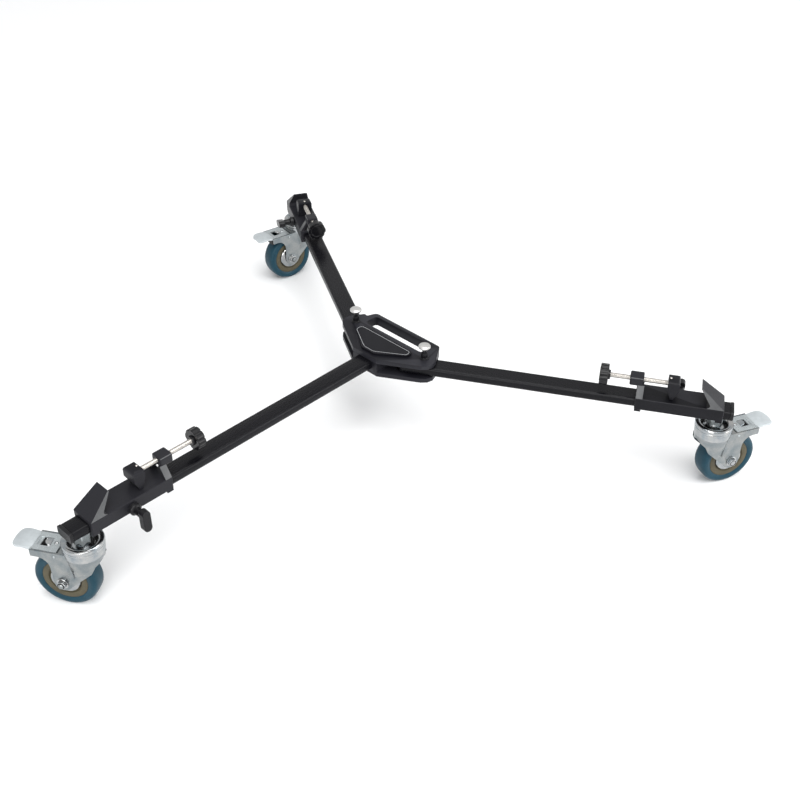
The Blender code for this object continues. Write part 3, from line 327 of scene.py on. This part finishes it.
class Nodes:
    """A short way to wire a material's nodes."""

    def __init__(self, name):
        self.material = bpy.data.materials.new(name)
        self.material.use_nodes = True
        self.tree = self.material.node_tree
        self.shader = self.tree.nodes["Principled BSDF"]

    def feed(self, socket, value):
        if isinstance(value, bpy.types.NodeSocket):
            self.tree.links.new(value, socket)
        else:
            socket.default_value = value

    def add(self, kind, **inputs):
        node = self.tree.nodes.new(kind)
        for key, value in inputs.items():
            self.feed(node.inputs[key.replace("_", " ")], value)
        return node

    def blend(self, factor, first, second):
        """The colour between first and second."""
        node = self.tree.nodes.new("ShaderNodeMix")
        node.data_type = "RGBA"
        self.feed(node.inputs[MIX_FACTOR], factor)
        self.feed(node.inputs[MIX_FROM], first)
        self.feed(node.inputs[MIX_TO], second)
        return node.outputs[MIX_RESULT]

    def shade(self, **inputs):
        for key, value in inputs.items():
            self.feed(self.shader.inputs[key.replace("_", " ")], value)


def tinted(colour, gain, warm, leans):
    """A colour made lighter or darker by gain, each channel leaning by its share of warm."""
    return tuple(min(1.0, part * gain * (1 + warm * lean)) for part, lean in zip(colour, leans)) + (1.0,)


def surface(name, colour, roughness, metallic=0.0, spread=0.12, rough_spread=0.08, patch=60.0, grain=1500.0,
            grain_depth=0.03, stretch=(1, 1, 1), turn=0.0, specular=0.5, wear_and_sheen=None, warm=0.0):
    """A finish with slow patches of tone, fine grain and its own gloss.

    Wear lightens the edges, partly as rubbed wear and partly as a painted highlight along them. Warm pulls
    the patches apart, the light ones redder and the dark ones bluer.
    """
    nodes = Nodes(name)
    place = nodes.add("ShaderNodeTexCoord").outputs["Object"]
    turned = nodes.add("ShaderNodeMapping", Vector=place, Rotation=(0, 0, -turn)).outputs["Vector"]
    mapped = nodes.add("ShaderNodeMapping", Vector=turned, Scale=stretch).outputs["Vector"]
    slow = nodes.add("ShaderNodeTexNoise", Vector=turned, Scale=patch, Detail=4.0, Roughness=0.6)
    fine = nodes.add("ShaderNodeTexNoise", Vector=mapped, Scale=grain, Detail=3.0, Roughness=0.65)
    tone = nodes.add("ShaderNodeMapRange", Value=slow.outputs["Fac"], From_Min=NOISE_LOW, From_Max=NOISE_HIGH)
    dark = tinted(colour, 1 - spread, warm, (-1, 0, 1))
    light = tinted(colour, 1 + spread, warm, (1, 0, -0.5))
    shown = nodes.blend(tone.outputs["Result"], dark, light)
    # Edges lighter by pointiness: rubbed wear, and a painted highlight where edges catch light.
    if wear_and_sheen:
        edge = nodes.add("ShaderNodeNewGeometry")
        ramp = nodes.add("ShaderNodeMapRange", Value=edge.outputs["Pointiness"], From_Min=EDGE_START,
                         From_Max=EDGE_FULL, To_Max=wear_and_sheen)
        rubbed_and_lit = tuple(min(1.0, part * RUB_AND_SHEEN_GAIN + RUB_AND_SHEEN_LIFT) for part in colour) + (1.0,)
        shown = nodes.blend(ramp.outputs["Result"], shown, rubbed_and_lit)
    gloss = nodes.add("ShaderNodeMapRange", Value=fine.outputs["Fac"], From_Min=NOISE_LOW,
                      From_Max=NOISE_HIGH, To_Min=max(LEAST_ROUGHNESS, roughness - rough_spread),
                      To_Max=min(1.0, roughness + rough_spread))
    bump = nodes.add("ShaderNodeBump", Height=fine.outputs["Fac"], Distance=grain_depth * MM, Strength=1.0)
    nodes.shade(Base_Color=shown, Roughness=gloss.outputs["Result"], Normal=bump.outputs["Normal"],
                Metallic=metallic, Specular_IOR_Level=specular)
    nodes.material.diffuse_color = (*colour, 1.0)
    return nodes.material


HUB_BLACK = surface("hub_black", (0.007, 0.007, 0.0098), roughness=0.4, spread=0.2, patch=45, grain=900,
                    grain_depth=0.04, specular=0.17, wear_and_sheen=0.3)
PANEL_BLACK = surface("panel_black", (0.0055, 0.0055, 0.0078), roughness=0.42, spread=0.18, patch=80,
                      grain=2200, grain_depth=0.02, specular=0.16)
PLASTIC_BLACK = surface("plastic_black", (0.005, 0.005, 0.006), roughness=0.3, spread=0.2, patch=90,
                        grain=1600, grain_depth=0.02, specular=0.2, wear_and_sheen=0.15)
KNOB_BLACK = surface("knob_black", (0.004, 0.004, 0.005), roughness=0.13, spread=0.2, patch=120, grain=1400,
                     grain_depth=0.01, specular=0.25)
# Black for the brake pads; also the dark rings of painted shade in grooves and recesses.
PAD_AND_SHADE_BLACK = surface("pad_and_shade_black", (0.012, 0.012, 0.012), roughness=0.6, spread=0.2, patch=90, grain=1500,
                    grain_depth=0.06, specular=0.3)
# Painted sheen: a lighter grey for the leaning cast faces, standing in for the light they catch.
CAST_PAINTED_SHEEN = surface("cast_painted_sheen", (0.075, 0.077, 0.08), roughness=0.4, spread=0.16, patch=90, grain=1100,
                     grain_depth=0.03, specular=0.4)
OUTLINE_PALE = surface("outline_pale", (0.42, 0.43, 0.44), roughness=0.5, spread=0.06, patch=200,
                       grain=2000, grain_depth=0.01)
STEEL = surface("turned_steel", (0.50, 0.475, 0.44), roughness=0.26, metallic=1.0, spread=0.12, patch=200,
                grain=2500, grain_depth=0.01)
PIN_STEEL = surface("pin_steel", (0.64, 0.635, 0.62), roughness=0.36, metallic=1.0, spread=0.08, patch=300,
                    grain=2500, grain_depth=0.008)
BRASS = surface("pad_brass", (0.62, 0.46, 0.2), roughness=0.32, metallic=1.0, spread=0.1, patch=200,
                grain=1500, grain_depth=0.02)
ZINC = surface("zinc_plate", (0.25, 0.272, 0.275), roughness=0.25, metallic=1.0, spread=0.2,
               rough_spread=0.08, patch=75, grain=2600, grain_depth=0.006, warm=0.06)
ZINC_BRIGHT = surface("zinc_bright", (0.36, 0.38, 0.385), roughness=0.16, metallic=1.0, spread=0.22,
                      rough_spread=0.05, patch=80, grain=2600, grain_depth=0.004, warm=0.07)
LEVER_ZINC = surface("lever_zinc", (0.40, 0.435, 0.445), roughness=0.3, metallic=0.6, spread=0.14, patch=90,
                     grain=2600, grain_depth=0.006)
PEDAL_COAT = surface("pedal_coat", (0.45, 0.485, 0.5), roughness=0.4, metallic=0.15, spread=0.07, patch=160,
                     grain=1100, grain_depth=0.03)
TYRE_BLUE = surface("tyre_blue", (0.006, 0.039, 0.06), roughness=0.42, spread=0.16, patch=70, grain=1300,
                    grain_depth=0.03, specular=0.22)
CORE_OLIVE = surface("core_olive", (0.074, 0.064, 0.038), roughness=0.5, spread=0.18, patch=90, grain=1500,
                     grain_depth=0.03, specular=0.25)
TUBE_BLACK = {}
CAST_BLACK = {}
for arm in ARMS:
    heading = math.radians(ARM_ANGLE[arm])
    TUBE_BLACK[arm] = surface("tube_black_" + arm, (0.0045, 0.0045, 0.006), roughness=0.27, spread=0.14,
                              rough_spread=0.03, patch=30, grain=1400, grain_depth=0.006,
                              stretch=(0.1, 1, 1), turn=heading, specular=0.15)
    CAST_BLACK[arm] = surface("cast_black_" + arm, (0.0038, 0.0038, 0.0055), roughness=0.34, spread=0.2,
                              rough_spread=0.08, patch=50, grain=1100, grain_depth=0.035,
                              stretch=(0.35, 1, 1), turn=heading, specular=0.12, wear_and_sheen=0.35)


# Hub

def dress_hub():
    dress("hub_bottom", "hub", HUB_BLACK, bevel=0.9, segments=3)
    dress("hub_top", "hub", HUB_BLACK, bevel=0.7, segments=3)
    dress("label_panel", "hub", PANEL_BLACK, bevel=0.35)
    for node in ("socket_bolt_A", "pivot_bolt_B", "pivot_bolt_C"):
        dress(node, "hub", STEEL, bevel=0.4)
    add_outline()
    for arm in FOLDING:
        add_pull_pin(arm)


def add_pull_pin(arm):
    """A bright turned knob whose dark sleeve slides into the barrel on the hub."""
    place = pin_frame(arm)
    seat = HUB_TOP + GAP
    foot = TUBE_TOP + 1.3
    bore, barrel, flange, neck = 2.95, 4.3, 6.2, 4.4
    bush = new_piece("bush_barrel_" + arm, lathe([
        (bore, seat + 8), (3.7, seat + 8), (4.1, seat + 7.7), (barrel, seat + 7.1), (barrel, seat + 1.9),
        (4.8, seat + 1.1), (5.9, seat + 0.9), (flange, seat + 0.6), (flange, seat), (neck, seat),
        (neck, foot), (bore, foot),
    ]), place, PLASTIC_BLACK, "hub")
    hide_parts("pin_bush_" + arm, "pin_spring_" + arm)
    top, pin, tip = KNOB_TOP, 1.9, 1.1
    knob = new_piece("pull_knob_" + arm, lathe([
        (0, top), (4.0, top - 0.1), (6.0, top - 0.45), (7.2, top - 1.0), (7.7, top - 1.7), (7.8, top - 3.0),
        (7.3, top - 3.9), (5.8, top - 5.2), (4.2, top - 6.7), (3.2, top - 8.1), (pin, top - 8.2),
        (pin, PIN_FOOT + 1), (tip, PIN_FOOT), (0, PIN_FOOT),
    ]), place, PIN_STEEL, "pull_" + arm)
    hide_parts("pull_pin_" + arm)
    sleeve = new_piece("pull_sleeve_" + arm, square_ring(pin + 0.05, 2.8, top - 7.9, top - 15.5, 32), place,
                       PLASTIC_BLACK, "pull_" + arm)


def add_outline():
    """The pale line round the bare label field."""
    corners = [(-45.8, 30.3), (43.4, 30.1), (44.2, 21.6), (7.4, -2.0), (-9.4, -1.7), (-45.4, 20.0)]
    radii = [5.2, 4.2, 4.0, 9.0, 12.0, 6.0]
    inside = Vector((0, 15))
    width, rise, depth = 0.48, 0.16, 0.2
    line = rounded(corners, radii, 8)
    count = len(line)
    rings = []
    for inset in (0.0, width):
        ring = []
        for index, point in enumerate(line):
            here = Vector(point)
            along = (Vector(line[(index + 1) % count]) - Vector(line[index - 1])).normalized()
            side = Vector((-along.y, along.x))
            if side.dot(inside - here) < 0:
                side = -side
            ring.append(here + side * inset)
        rings.append(ring)
    shape = bmesh.new()
    verts = [[shape.verts.new((point.x, point.y, level)) for point in ring]
             for ring in rings for level in (-depth, rise)]
    low_out, top_out, low_in, top_in = verts
    for index in range(count):
        after = (index + 1) % count
        for first, second in ((low_out, top_out), (top_out, top_in), (top_in, low_in), (low_in, low_out)):
            shape.faces.new((first[index], first[after], second[after], second[index]))
    piece = new_piece("label_outline", shape, Matrix.Identity(4), OUTLINE_PALE, "hub")


# Arms and carriages

def dress_arm(arm):
    body = arm_body(arm)
    dress("arm_tube_" + arm, body, TUBE_BLACK[arm], bevel=0.0)
    dress("end_plug_" + arm, body, PLASTIC_BLACK, bevel=0.35)
    half_wide, half_high, corner, back, front = 9.6, 3.4, 1.6, PLUG_END - 0.6, PLUG_END - 0.05
    outline = rounded_box(half_wide, half_high, corner, (0, TUBE_MID))
    face = new_piece("plug_face_" + arm, prism(outline, back, front, "x"), arm_frame(arm), PLASTIC_BLACK,
                     body, bevel=0.3)


def dress_carriage(arm):
    body = "carriage_" + arm
    casting = dress("carriage_" + arm, body, CAST_BLACK[arm], bevel=0.8, segments=3, angle=math.radians(24))
    brighten_slopes(casting, arm)
    place = clamp_frame(arm)
    dress("clamp_jaw_" + arm, "jaw_" + arm, CAST_BLACK[arm], bevel=1.2, segments=3)
    dome = [(0, 4.6), (0.9, 4.5), (1.5, 4.0), (1.7, 3.2), (1.7, 0), (0, 0)]
    into_jaw, over_screw = 2.8, 4.0
    pin = new_piece("jaw_pin_" + arm, lathe(dome, 24), place @ shift(into_jaw, 0, over_screw), STEEL,
                    "jaw_" + arm)
    add_clamp_screw(arm, place)
    add_clamp_knob(arm, place)
    add_lock(arm)


def brighten_slopes(casting, arm):
    """The leaning outer faces of the bridge's legs and the stop's ribs get a painted sheen: a lighter grey
    for the light they catch.
    """
    casting.data.materials.append(CAST_PAINTED_SHEEN)
    sideways, flattest, steepest = 0.5, 0.9, 0.1
    back = arm_frame(arm).inverted()
    for face in casting.data.polygons:
        normal = back.to_3x3() @ face.normal
        above = (back @ face.center).z > CARRIAGE_TOP * MM
        if above and abs(normal.y) > sideways and steepest < normal.z < flattest:
            face.material_index = 1


def add_clamp_screw(arm, place):
    """A rod with fine rings for its thread."""
    start, end, root, crest, pitch = -80.5, 8.6, 2.85, 3.15, 1.25
    chamfer, plain_end = 0.5, 3
    profile = [(0, end), (root - chamfer, end), (root, end - chamfer)]
    at = end - 2 * chamfer
    while at > start + plain_end:
        profile += [(crest, at), (crest, at - pitch / 4), (root, at - pitch / 2), (root, at - pitch * 3 / 4)]
        at -= pitch
    profile += [(root, start), (0, start)]
    rod = new_piece("clamp_thread_" + arm, lathe(profile, 24), place @ ALONG_X, STEEL, "clamp_" + arm,
                    angle=math.radians(60))
    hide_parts("clamp_screw_" + arm)


def lobed_circle(lobes, valley, lobe_height, sharpness, points_per_lobe):
    """A circle with lobes over its valley radius, broad where sharpness is low."""
    points = []
    count = lobes * points_per_lobe
    for index in range(count):
        angle = 2 * math.pi * index / count
        radius = valley + lobe_height * abs(math.cos(lobes / 2 * angle)) ** sharpness
        points.append((radius * math.cos(angle), radius * math.sin(angle)))
    return points


def add_clamp_knob(arm, place):
    body = "clamp_" + arm
    turned = place @ ALONG_X
    near = -SCREW_EXPOSED
    far = near - CLAMP_KNOB_T
    screw, cap_r = 3.1, 9.4
    outline = lobed_circle(8, valley=11.6, lobe_height=1.75, sharpness=0.4, points_per_lobe=14)
    knob = new_piece("knob_grip_" + arm, prism(outline, far, near - 2.5, "x"), place, KNOB_BLACK, body,
                     bevel=0.9, segments=3, angle=math.radians(50))
    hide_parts("clamp_knob_" + arm)
    boss = new_piece("knob_boss_" + arm, lathe([
        (screw, near), (5.4, near), (6, near - 0.6), (6.3, near - 2.6), (8.8, near - 2.7), (8.8, near - 2.4),
        (cap_r, near - 2.4), (cap_r, near - 3.4), (screw, near - 3.4),
    ], 48), turned, KNOB_BLACK, body)
    cap = new_piece("knob_cap_" + arm, lathe([
        (0, far + 1.0), (cap_r, far + 0.4), (cap_r, far + 0.1), (9.0, far - 0.35), (8.6, far - 0.3),
        (7.9, far + 0.4), (7.2, far + 0.6), (0, far + 0.6),
    ], 48), turned, KNOB_BLACK, body)


def add_lock(arm):
    """The pad, and the winged screw that presses it on the tube."""
    place = lock_frame(arm)
    body = "lock_screw_" + arm
    dress("lock_pad_" + arm, "lock_pad_" + arm, BRASS, bevel=0.2)
    stem = new_piece("lock_stem_" + arm, lathe([
        (0, 40), (4.2, 40), (4.4, 33), (4.5, 27), (5.0, 24.2), (6.8, 23.0), (7.3, 22.2), (7.4, 18.2),
        (7.0, 17.6), (3, 17.6), (3, 15.0), (0, 15.0),
    ], 40), place @ ALONG_Y, PLASTIC_BLACK, body)
    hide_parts("lock_screw_" + arm)
    half_thick, half_long, corner, drop, depth = 5, 14.25, 4.9, 5, 9.5
    outline = rounded_box(half_thick, half_long, corner, (0, -drop), 10)
    wing = new_piece("lock_wing_" + arm, prism(outline, LOCK_REACH - depth, LOCK_REACH, "y"), place,
                     PLASTIC_BLACK, body, bevel=1.0, segments=3)


# Casters

def dress_caster(arm):
    place = caster_frame(arm)
    body = "caster_" + arm
    add_raceway(arm, place, body)
    add_stem(arm, place)
    dress("fork_" + arm, body, ZINC, bevel=0.6)
    add_skirt(arm, place, body)
    add_axle(arm, body)
    add_brake(arm, place)
    add_wheel(arm)


def add_raceway(arm, place, body):
    """The round head with its rolled rim and the grooves of its two pressings."""
    bore, base = 6.1, RACE_BASE
    well = [(bore, RACE_FLOOR), (15.2, RACE_FLOOR), (15.7, base + 6.6), (16.2, base + 10.8),
            (17.2, base + 13.0)]
    rim = [(18.6, base + 14.2), (20.2, base + 14.5), (21.8, base + 14.3), (23.2, base + 13.5),
           (23.9, base + 12.2), (24.0, base + 10.8), (23.7, base + 9.6)]
    upper_groove = [(23.35, base + 9.0), (23.3, base + 8.4), (23.6, base + 7.8)]
    lower_groove = [(23.6, base + 6.6), (23.3, base + 5.6), (23.0, base + 5.2), (23.0, base + 4.4),
                    (23.2, base + 3.8)]
    foot = [(23.0, base + 1.0), (22.7, CROWN_LOW + 0.2), (22.2, CROWN_LOW + 0.1), (22.2, base), (bore, base)]
    head = new_piece("raceway_" + arm, lathe(well + rim + upper_groove + lower_groove + foot, 96), place,
                     ZINC_BRIGHT, body)
    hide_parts("swivel_head_" + arm)


def add_stem(arm, place):
    """The stem from the end plug down through the raceway, with its collar, nut and washer."""
    body = arm_body(arm)
    base, top, under = STEM_BASE, TUBE_TOP - 2.6, CROWN_LOW - GAP
    stem_r, neck_r, rivet_r, rivet_t = 5, 5.5, 8.5, 1.5
    stem = new_piece("stem_collar_" + arm, lathe([
        (0, top), (stem_r, top), (stem_r, TUBE_LOW - 6), (7.2, TUBE_LOW - 9.4), (9.6, base + 4.4),
        (12.4, base + 3.0), (13, base + 2.0), (13, base + 0.6), (12.4, base), (neck_r, base), (neck_r, under),
        (rivet_r, under), (rivet_r, under - rivet_t), (0, under - rivet_t),
    ]), place, ZINC_BRIGHT, body)
    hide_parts("caster_stem_" + arm)
    square_to_arm = Matrix.Rotation(math.radians(ARM_ANGLE[arm] - CASTER_YAW[arm]), 4, "Z")
    nut = new_piece("stem_nut_" + arm, prism(hexagon(9.8), base + 3.6, TUBE_LOW - 2.6), place @ square_to_arm,
                    LEVER_ZINC, body, bevel=0.7)
    top = TUBE_LOW - GAP
    washer = new_piece("stem_washer_" + arm, lathe([
        (5.1, top), (9.3, top), (9.7, top - 0.4), (9.7, top - 1.7), (9.3, top - 2.1), (5.1, top - 2.1)], 48),
        place, ZINC, body)
    # A dark ring round the bottom corner of the raceway's well.
    well = new_piece("raceway_dark_ring_" + arm, square_ring(13.3, 15.6, CROWN_TOP + 6.5, CROWN_TOP + 6.1, 48),
                     place, PAD_AND_SHADE_BLACK, "caster_" + arm)


def add_skirt(arm, place, body):
    """The pressed skirt that turns the fork's cheeks round its front, under the raceway."""
    top, side_low, front_rise = CROWN_LOW + 0.5, 48.0, 26.5
    top_radius, taper, taper_height, curve = 22.6, 3.4, 26, 0.8
    cheek, thick = FORK_OUTER + 0.05, 1.3
    columns, rows = 64, 8
    layers = []
    for inset in (0.0, thick):
        grid = []
        for column in range(columns + 1):
            ahead = 1 - abs(2 * column / columns - 1)
            low = side_low + front_rise * ahead ** curve
            line = []
            for row in range(rows + 1):
                height = top + (low - top) * row / rows
                radius = top_radius - taper * min(1.0, (top - height) / taper_height) ** curve
                crease = math.asin(cheek / radius)
                turn = crease + (2 * math.pi - 2 * crease) * column / columns
                line.append(((radius - inset) * math.cos(turn), (radius - inset) * math.sin(turn), height))
            grid.append(line)
        layers.append(grid)
    skirt = new_piece("fork_skirt_" + arm, shell(*layers), place, ZINC, body, angle=math.radians(45))


def add_axle(arm, body):
    """The axle bolt with a washer and a hexagon at each end, and on each end face a dark ring of painted
    shade for its recess.
    """
    place = axle_frame(arm)
    outer = FORK_OUTER + GAP
    shank, washer_t, nut_end = 4, 0.9, 4.6
    bolt = new_piece("axle_shank_" + arm, lathe([
        (0, outer + 6.0), (2.3, outer + 6.0), (3.0, outer + 5.5), (3.2, outer + 4.6), (shank, outer),
        (shank, -outer - 2), (0, -outer - 2)], 32), place, ZINC, body)
    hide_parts("axle_bolt_" + arm)
    for side, label in ((1, "nut"), (-1, "head")):
        low, high = sorted((side * (outer + washer_t), side * (outer + nut_end)))
        piece = new_piece("axle_%s_%s" % (label, arm), prism(hexagon(5.8), low, high), place, ZINC_BRIGHT,
                          body, bevel=0.6, segments=3)
        low, high = sorted((side * outer, side * (outer + washer_t)))
        washer = new_piece("axle_washer_%s_%s" % (label, arm), lathe([
            (4.1, high), (6.7, high), (7.0, high - 0.25), (7.0, low + 0.25), (6.7, low), (4.1, low)], 40),
            place, ZINC_BRIGHT, body)
        # Painted shade: a dark ring on the hexagon's end face for the shade in its recess.
        low, high = sorted((side * (outer + nut_end - 0.05), side * (outer + nut_end + 0.15)))
        recess = new_piece("axle_recess_%s_%s" % (label, arm), square_ring(3.4, 4.3, high, low, 32), place,
                           PAD_AND_SHADE_BLACK, body)


def add_brake(arm, place):
    """The foot lever with its pedal, its pad, the tongue in its window and a rivet."""
    body = "brake_" + arm
    dress("brake_lever_" + arm, body, LEVER_ZINC, bevel=0.35)
    add_pedal(arm, place, body)
    near, far, low, high, half = 49.6, 56.6, 67.9, 79.9, 9.3
    section = [(near, low), (far, low), (far, high), (near, high)]
    pad = new_piece("brake_pad_" + arm, prism(section, -half, half, "y"), place, PAD_AND_SHADE_BLACK, body, bevel=0.6)
    add_tongue(arm, place, body)
    top, rivet_reach = LEVER_TOP, 33.2
    rivet = new_piece("brake_rivet_" + arm, lathe([
        (0, top + 1.3), (1.3, top + 1.2), (2.3, top + 0.7), (2.7, top), (2.7, top - 0.3), (0, top - 0.3),
    ], 28), place @ shift(rivet_reach), ZINC_BRIGHT, body)


def add_tongue(arm, place, body):
    """The round-ended tab that leans up out of the lever's window."""
    root, height, slope = 38.6, LEVER_TOP - 1.4, 20
    half, straight, thick = 4.9, 2.4, 1.3
    outline = [(0, -half), (straight, -half)] + arc((straight, 0), half, -80, 80, 10)
    outline += [(straight, half), (0, half)]
    tilt = Matrix.Rotation(math.radians(-slope), 4, "Y")
    tongue = new_piece("brake_tongue_" + arm, prism(outline, 0, thick), place @ shift(root, 0, height) @ tilt,
                       ZINC_BRIGHT, body, bevel=0.4, segments=3)


def add_pedal(arm, place, body):
    """The broad tread plate, arched along and across, with round outer corners."""
    start, end, half, corner, thick = 56.5, 81.2, 14.1, 7.5, 3.0
    rise, arch, fall = 0.4, 2.2, 1.0
    arch_end = math.pi * 0.95
    crowding = 1.4                          # sets the columns closer at the outer end
    columns, rows = 26, 18
    layers = []
    for drop in (0.0, thick):
        grid = []
        for column in range(columns + 1):
            along = start + (end - start) * (1 - (1 - column / columns) ** crowding)
            past = max(0.0, along - (end - corner))
            wide = half - corner + math.sqrt(max(0.0, corner ** 2 - past ** 2))
            bow = math.sin(arch_end * (along - start) / (end - start))
            line = []
            for row in range(rows + 1):
                share = 2 * row / rows - 1
                line.append((along, wide * share, LEVER_TOP + rise + arch * bow - fall * share ** 2 - drop))
            grid.append(line)
        layers.append(grid)
    pedal = new_piece("pedal_tread_" + arm, shell(*layers), place, PEDAL_COAT, body, bevel=0.7, segments=3,
                      angle=math.radians(40))
    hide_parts("brake_pedal_" + arm)


def add_wheel(arm):
    """The tyre, its olive core, and on each side a thread guard over a groove darkened by a ring of painted
    shade.
    """
    place = axle_frame(arm)
    body = "wheel_" + arm
    tread = [(27, 10.5), (28.2, 11.3), (31.5, 12.0), (34.0, 11.6), (35.8, 10.4), (36.9, 8.4), (37.4, 5.4),
             (37.5, 2.0)]
    tyre = new_piece("tyre_band_" + arm, lathe(mirrored(tread), 112), place, TYRE_BLUE, body)
    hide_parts("tyre_" + arm)
    flange = [(19.4, 9.6), (19.8, 10.5), (21.5, 10.9), (25.4, 10.9), (26.7, 10.5)]
    rim = new_piece("core_rim_" + arm, lathe(mirrored(flange), 112), place, CORE_OLIVE, body)
    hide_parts("wheel_core_" + arm)
    bore, guard_r = 4.4, 17.6
    for side, label in ((-1, "right"), (1, "left")):
        # Painted shade: a dark ring in the groove under each thread guard.
        groove = new_piece("groove_shade_%s_%s" % (arm, label),
                           square_ring(17.2, 19.6, side * 8.2, side * 7.2, 96), place, PAD_AND_SHADE_BLACK, body)
        guard = new_piece("thread_guard_%s_%s" % (arm, label), lathe([
            (bore, side * 13.4), (8.6, side * 13.4), (9.2, side * 13.0), (10.2, side * 12.2),
            (15.0, side * 11.6), (16.8, side * 11.0), (guard_r, side * 10.0), (guard_r, side * 7.6),
            (bore, side * 7.6),
        ], 96), place, ZINC_BRIGHT, body)
    web = [(bore, 7.5), (17.4, 7.5), (19.5, 9.5)]
    inner = new_piece("core_hub_" + arm, lathe(mirrored(web), 64), place, CORE_OLIVE, body)


# Studio, with its lights placed and sized in metres

def aim(place):
    """The turn that points a lamp at place towards the hub."""
    return (-Vector(place)).to_track_quat("-Z", "Y").to_euler()


def add_camera():
    azimuth, elevation = math.radians(CAMERA_AZIMUTH), math.radians(CAMERA_ELEVATION)
    roll = math.radians(CAMERA_ROLL)
    back = Vector((math.sin(azimuth) * math.cos(elevation), -math.cos(azimuth) * math.cos(elevation),
                   math.sin(elevation)))
    level = Vector((math.cos(azimuth), math.sin(azimuth), 0))
    up = back.cross(level)
    right = level * math.cos(roll) + up * math.sin(roll)
    upright = -level * math.sin(roll) + up * math.cos(roll)
    data = bpy.data.cameras.new("camera")
    data.sensor_width = CAMERA_SENSOR
    data.lens = CAMERA_LENS
    data.clip_start = 0.01
    camera = bpy.data.objects.new("camera", data)
    bpy.context.scene.collection.objects.link(camera)
    place = Matrix((right, upright, back)).transposed().to_4x4()
    place.translation = (CAMERA_X * MM, CAMERA_Y * MM, (CAMERA_HEIGHT - DECK) * MM)
    camera.matrix_world = place
    bpy.context.scene.camera = camera


def add_light(name, kind, place):
    data = bpy.data.lights.new(name, kind)
    lamp = bpy.data.objects.new(name, data)
    bpy.context.scene.collection.objects.link(lamp)
    lamp.rotation_euler = aim(place)
    return lamp


def add_sun(name, place, strength, spread):
    """A sun that shines from place towards the hub."""
    sun = add_light(name, "SUN", place)
    sun.data.energy = strength
    sun.data.angle = math.radians(spread)


def add_lamp(name, place, size, power):
    """A panel that shines from place towards the hub and isn't seen itself."""
    lamp = add_light(name, "AREA", place)
    lamp.data.shape = "RECTANGLE"
    lamp.data.size, lamp.data.size_y = size
    lamp.data.energy = power
    lamp.location = place
    lamp.visible_camera = False


def add_floor():
    half_side = 6.0
    shape = bmesh.new()
    bmesh.ops.create_grid(shape, x_segments=1, y_segments=1, size=half_side)
    mesh = bpy.data.meshes.new("floor")
    shape.to_mesh(mesh)
    shape.free()
    floor = bpy.data.objects.new("floor", mesh)
    floor.location = (0, 0, -DECK * MM)
    bpy.context.scene.collection.objects.link(floor)
    nodes = Nodes("floor_pale")
    nodes.shade(Base_Color=(0.95, 0.95, 0.95, 1.0), Roughness=0.9, Specular_IOR_Level=0.1)
    mesh.materials.append(nodes.material)


def add_world():
    """A dim grey room for the light, and plain white where the camera or a gloss sees it."""
    world = bpy.data.worlds.new("studio")
    world.use_nodes = True
    tree = world.node_tree
    dim = tree.nodes["Background"]
    dim.inputs["Color"].default_value = (0.96, 0.98, 1, 1)
    dim.inputs["Strength"].default_value = 0.32
    white = tree.nodes.new("ShaderNodeBackground")
    white.inputs["Strength"].default_value = 1.0
    path = tree.nodes.new("ShaderNodeLightPath")
    seen = path.outputs["Is Camera Ray"]
    for kind in ("Is Glossy Ray", "Is Transmission Ray"):
        either = tree.nodes.new("ShaderNodeMath")
        either.operation = "MAXIMUM"
        tree.links.new(seen, either.inputs[0])
        tree.links.new(path.outputs[kind], either.inputs[1])
        seen = either.outputs["Value"]
    choice = tree.nodes.new("ShaderNodeMixShader")
    tree.links.new(seen, choice.inputs[0])
    tree.links.new(dim.outputs["Background"], choice.inputs[1])
    tree.links.new(white.outputs["Background"], choice.inputs[2])
    tree.links.new(choice.outputs["Shader"], tree.nodes["World Output"].inputs["Surface"])
    bpy.context.scene.world = world


add_camera()
add_floor()
add_world()
add_sun("main", (0.75, -0.45, 1.5), strength=2.2, spread=46)
add_lamp("overhead", (-0.2, 0.35, 2.0), size=(1.0, 0.6), power=9)
add_lamp("right", (1.5, 0.9, 1.3), size=(0.5, 1.0), power=4)
add_lamp("low_right", (1.85, 1.3, 0.45), size=(1.8, 0.9), power=25)
add_lamp("low_front", (1.0, -2.1, 0.8), size=(1.4, 1.2), power=26)
dress_hub()
for arm in ARMS:
    dress_arm(arm)
    dress_carriage(arm)
    dress_caster(arm)

view = bpy.context.scene.view_settings
view.view_transform = "Standard"
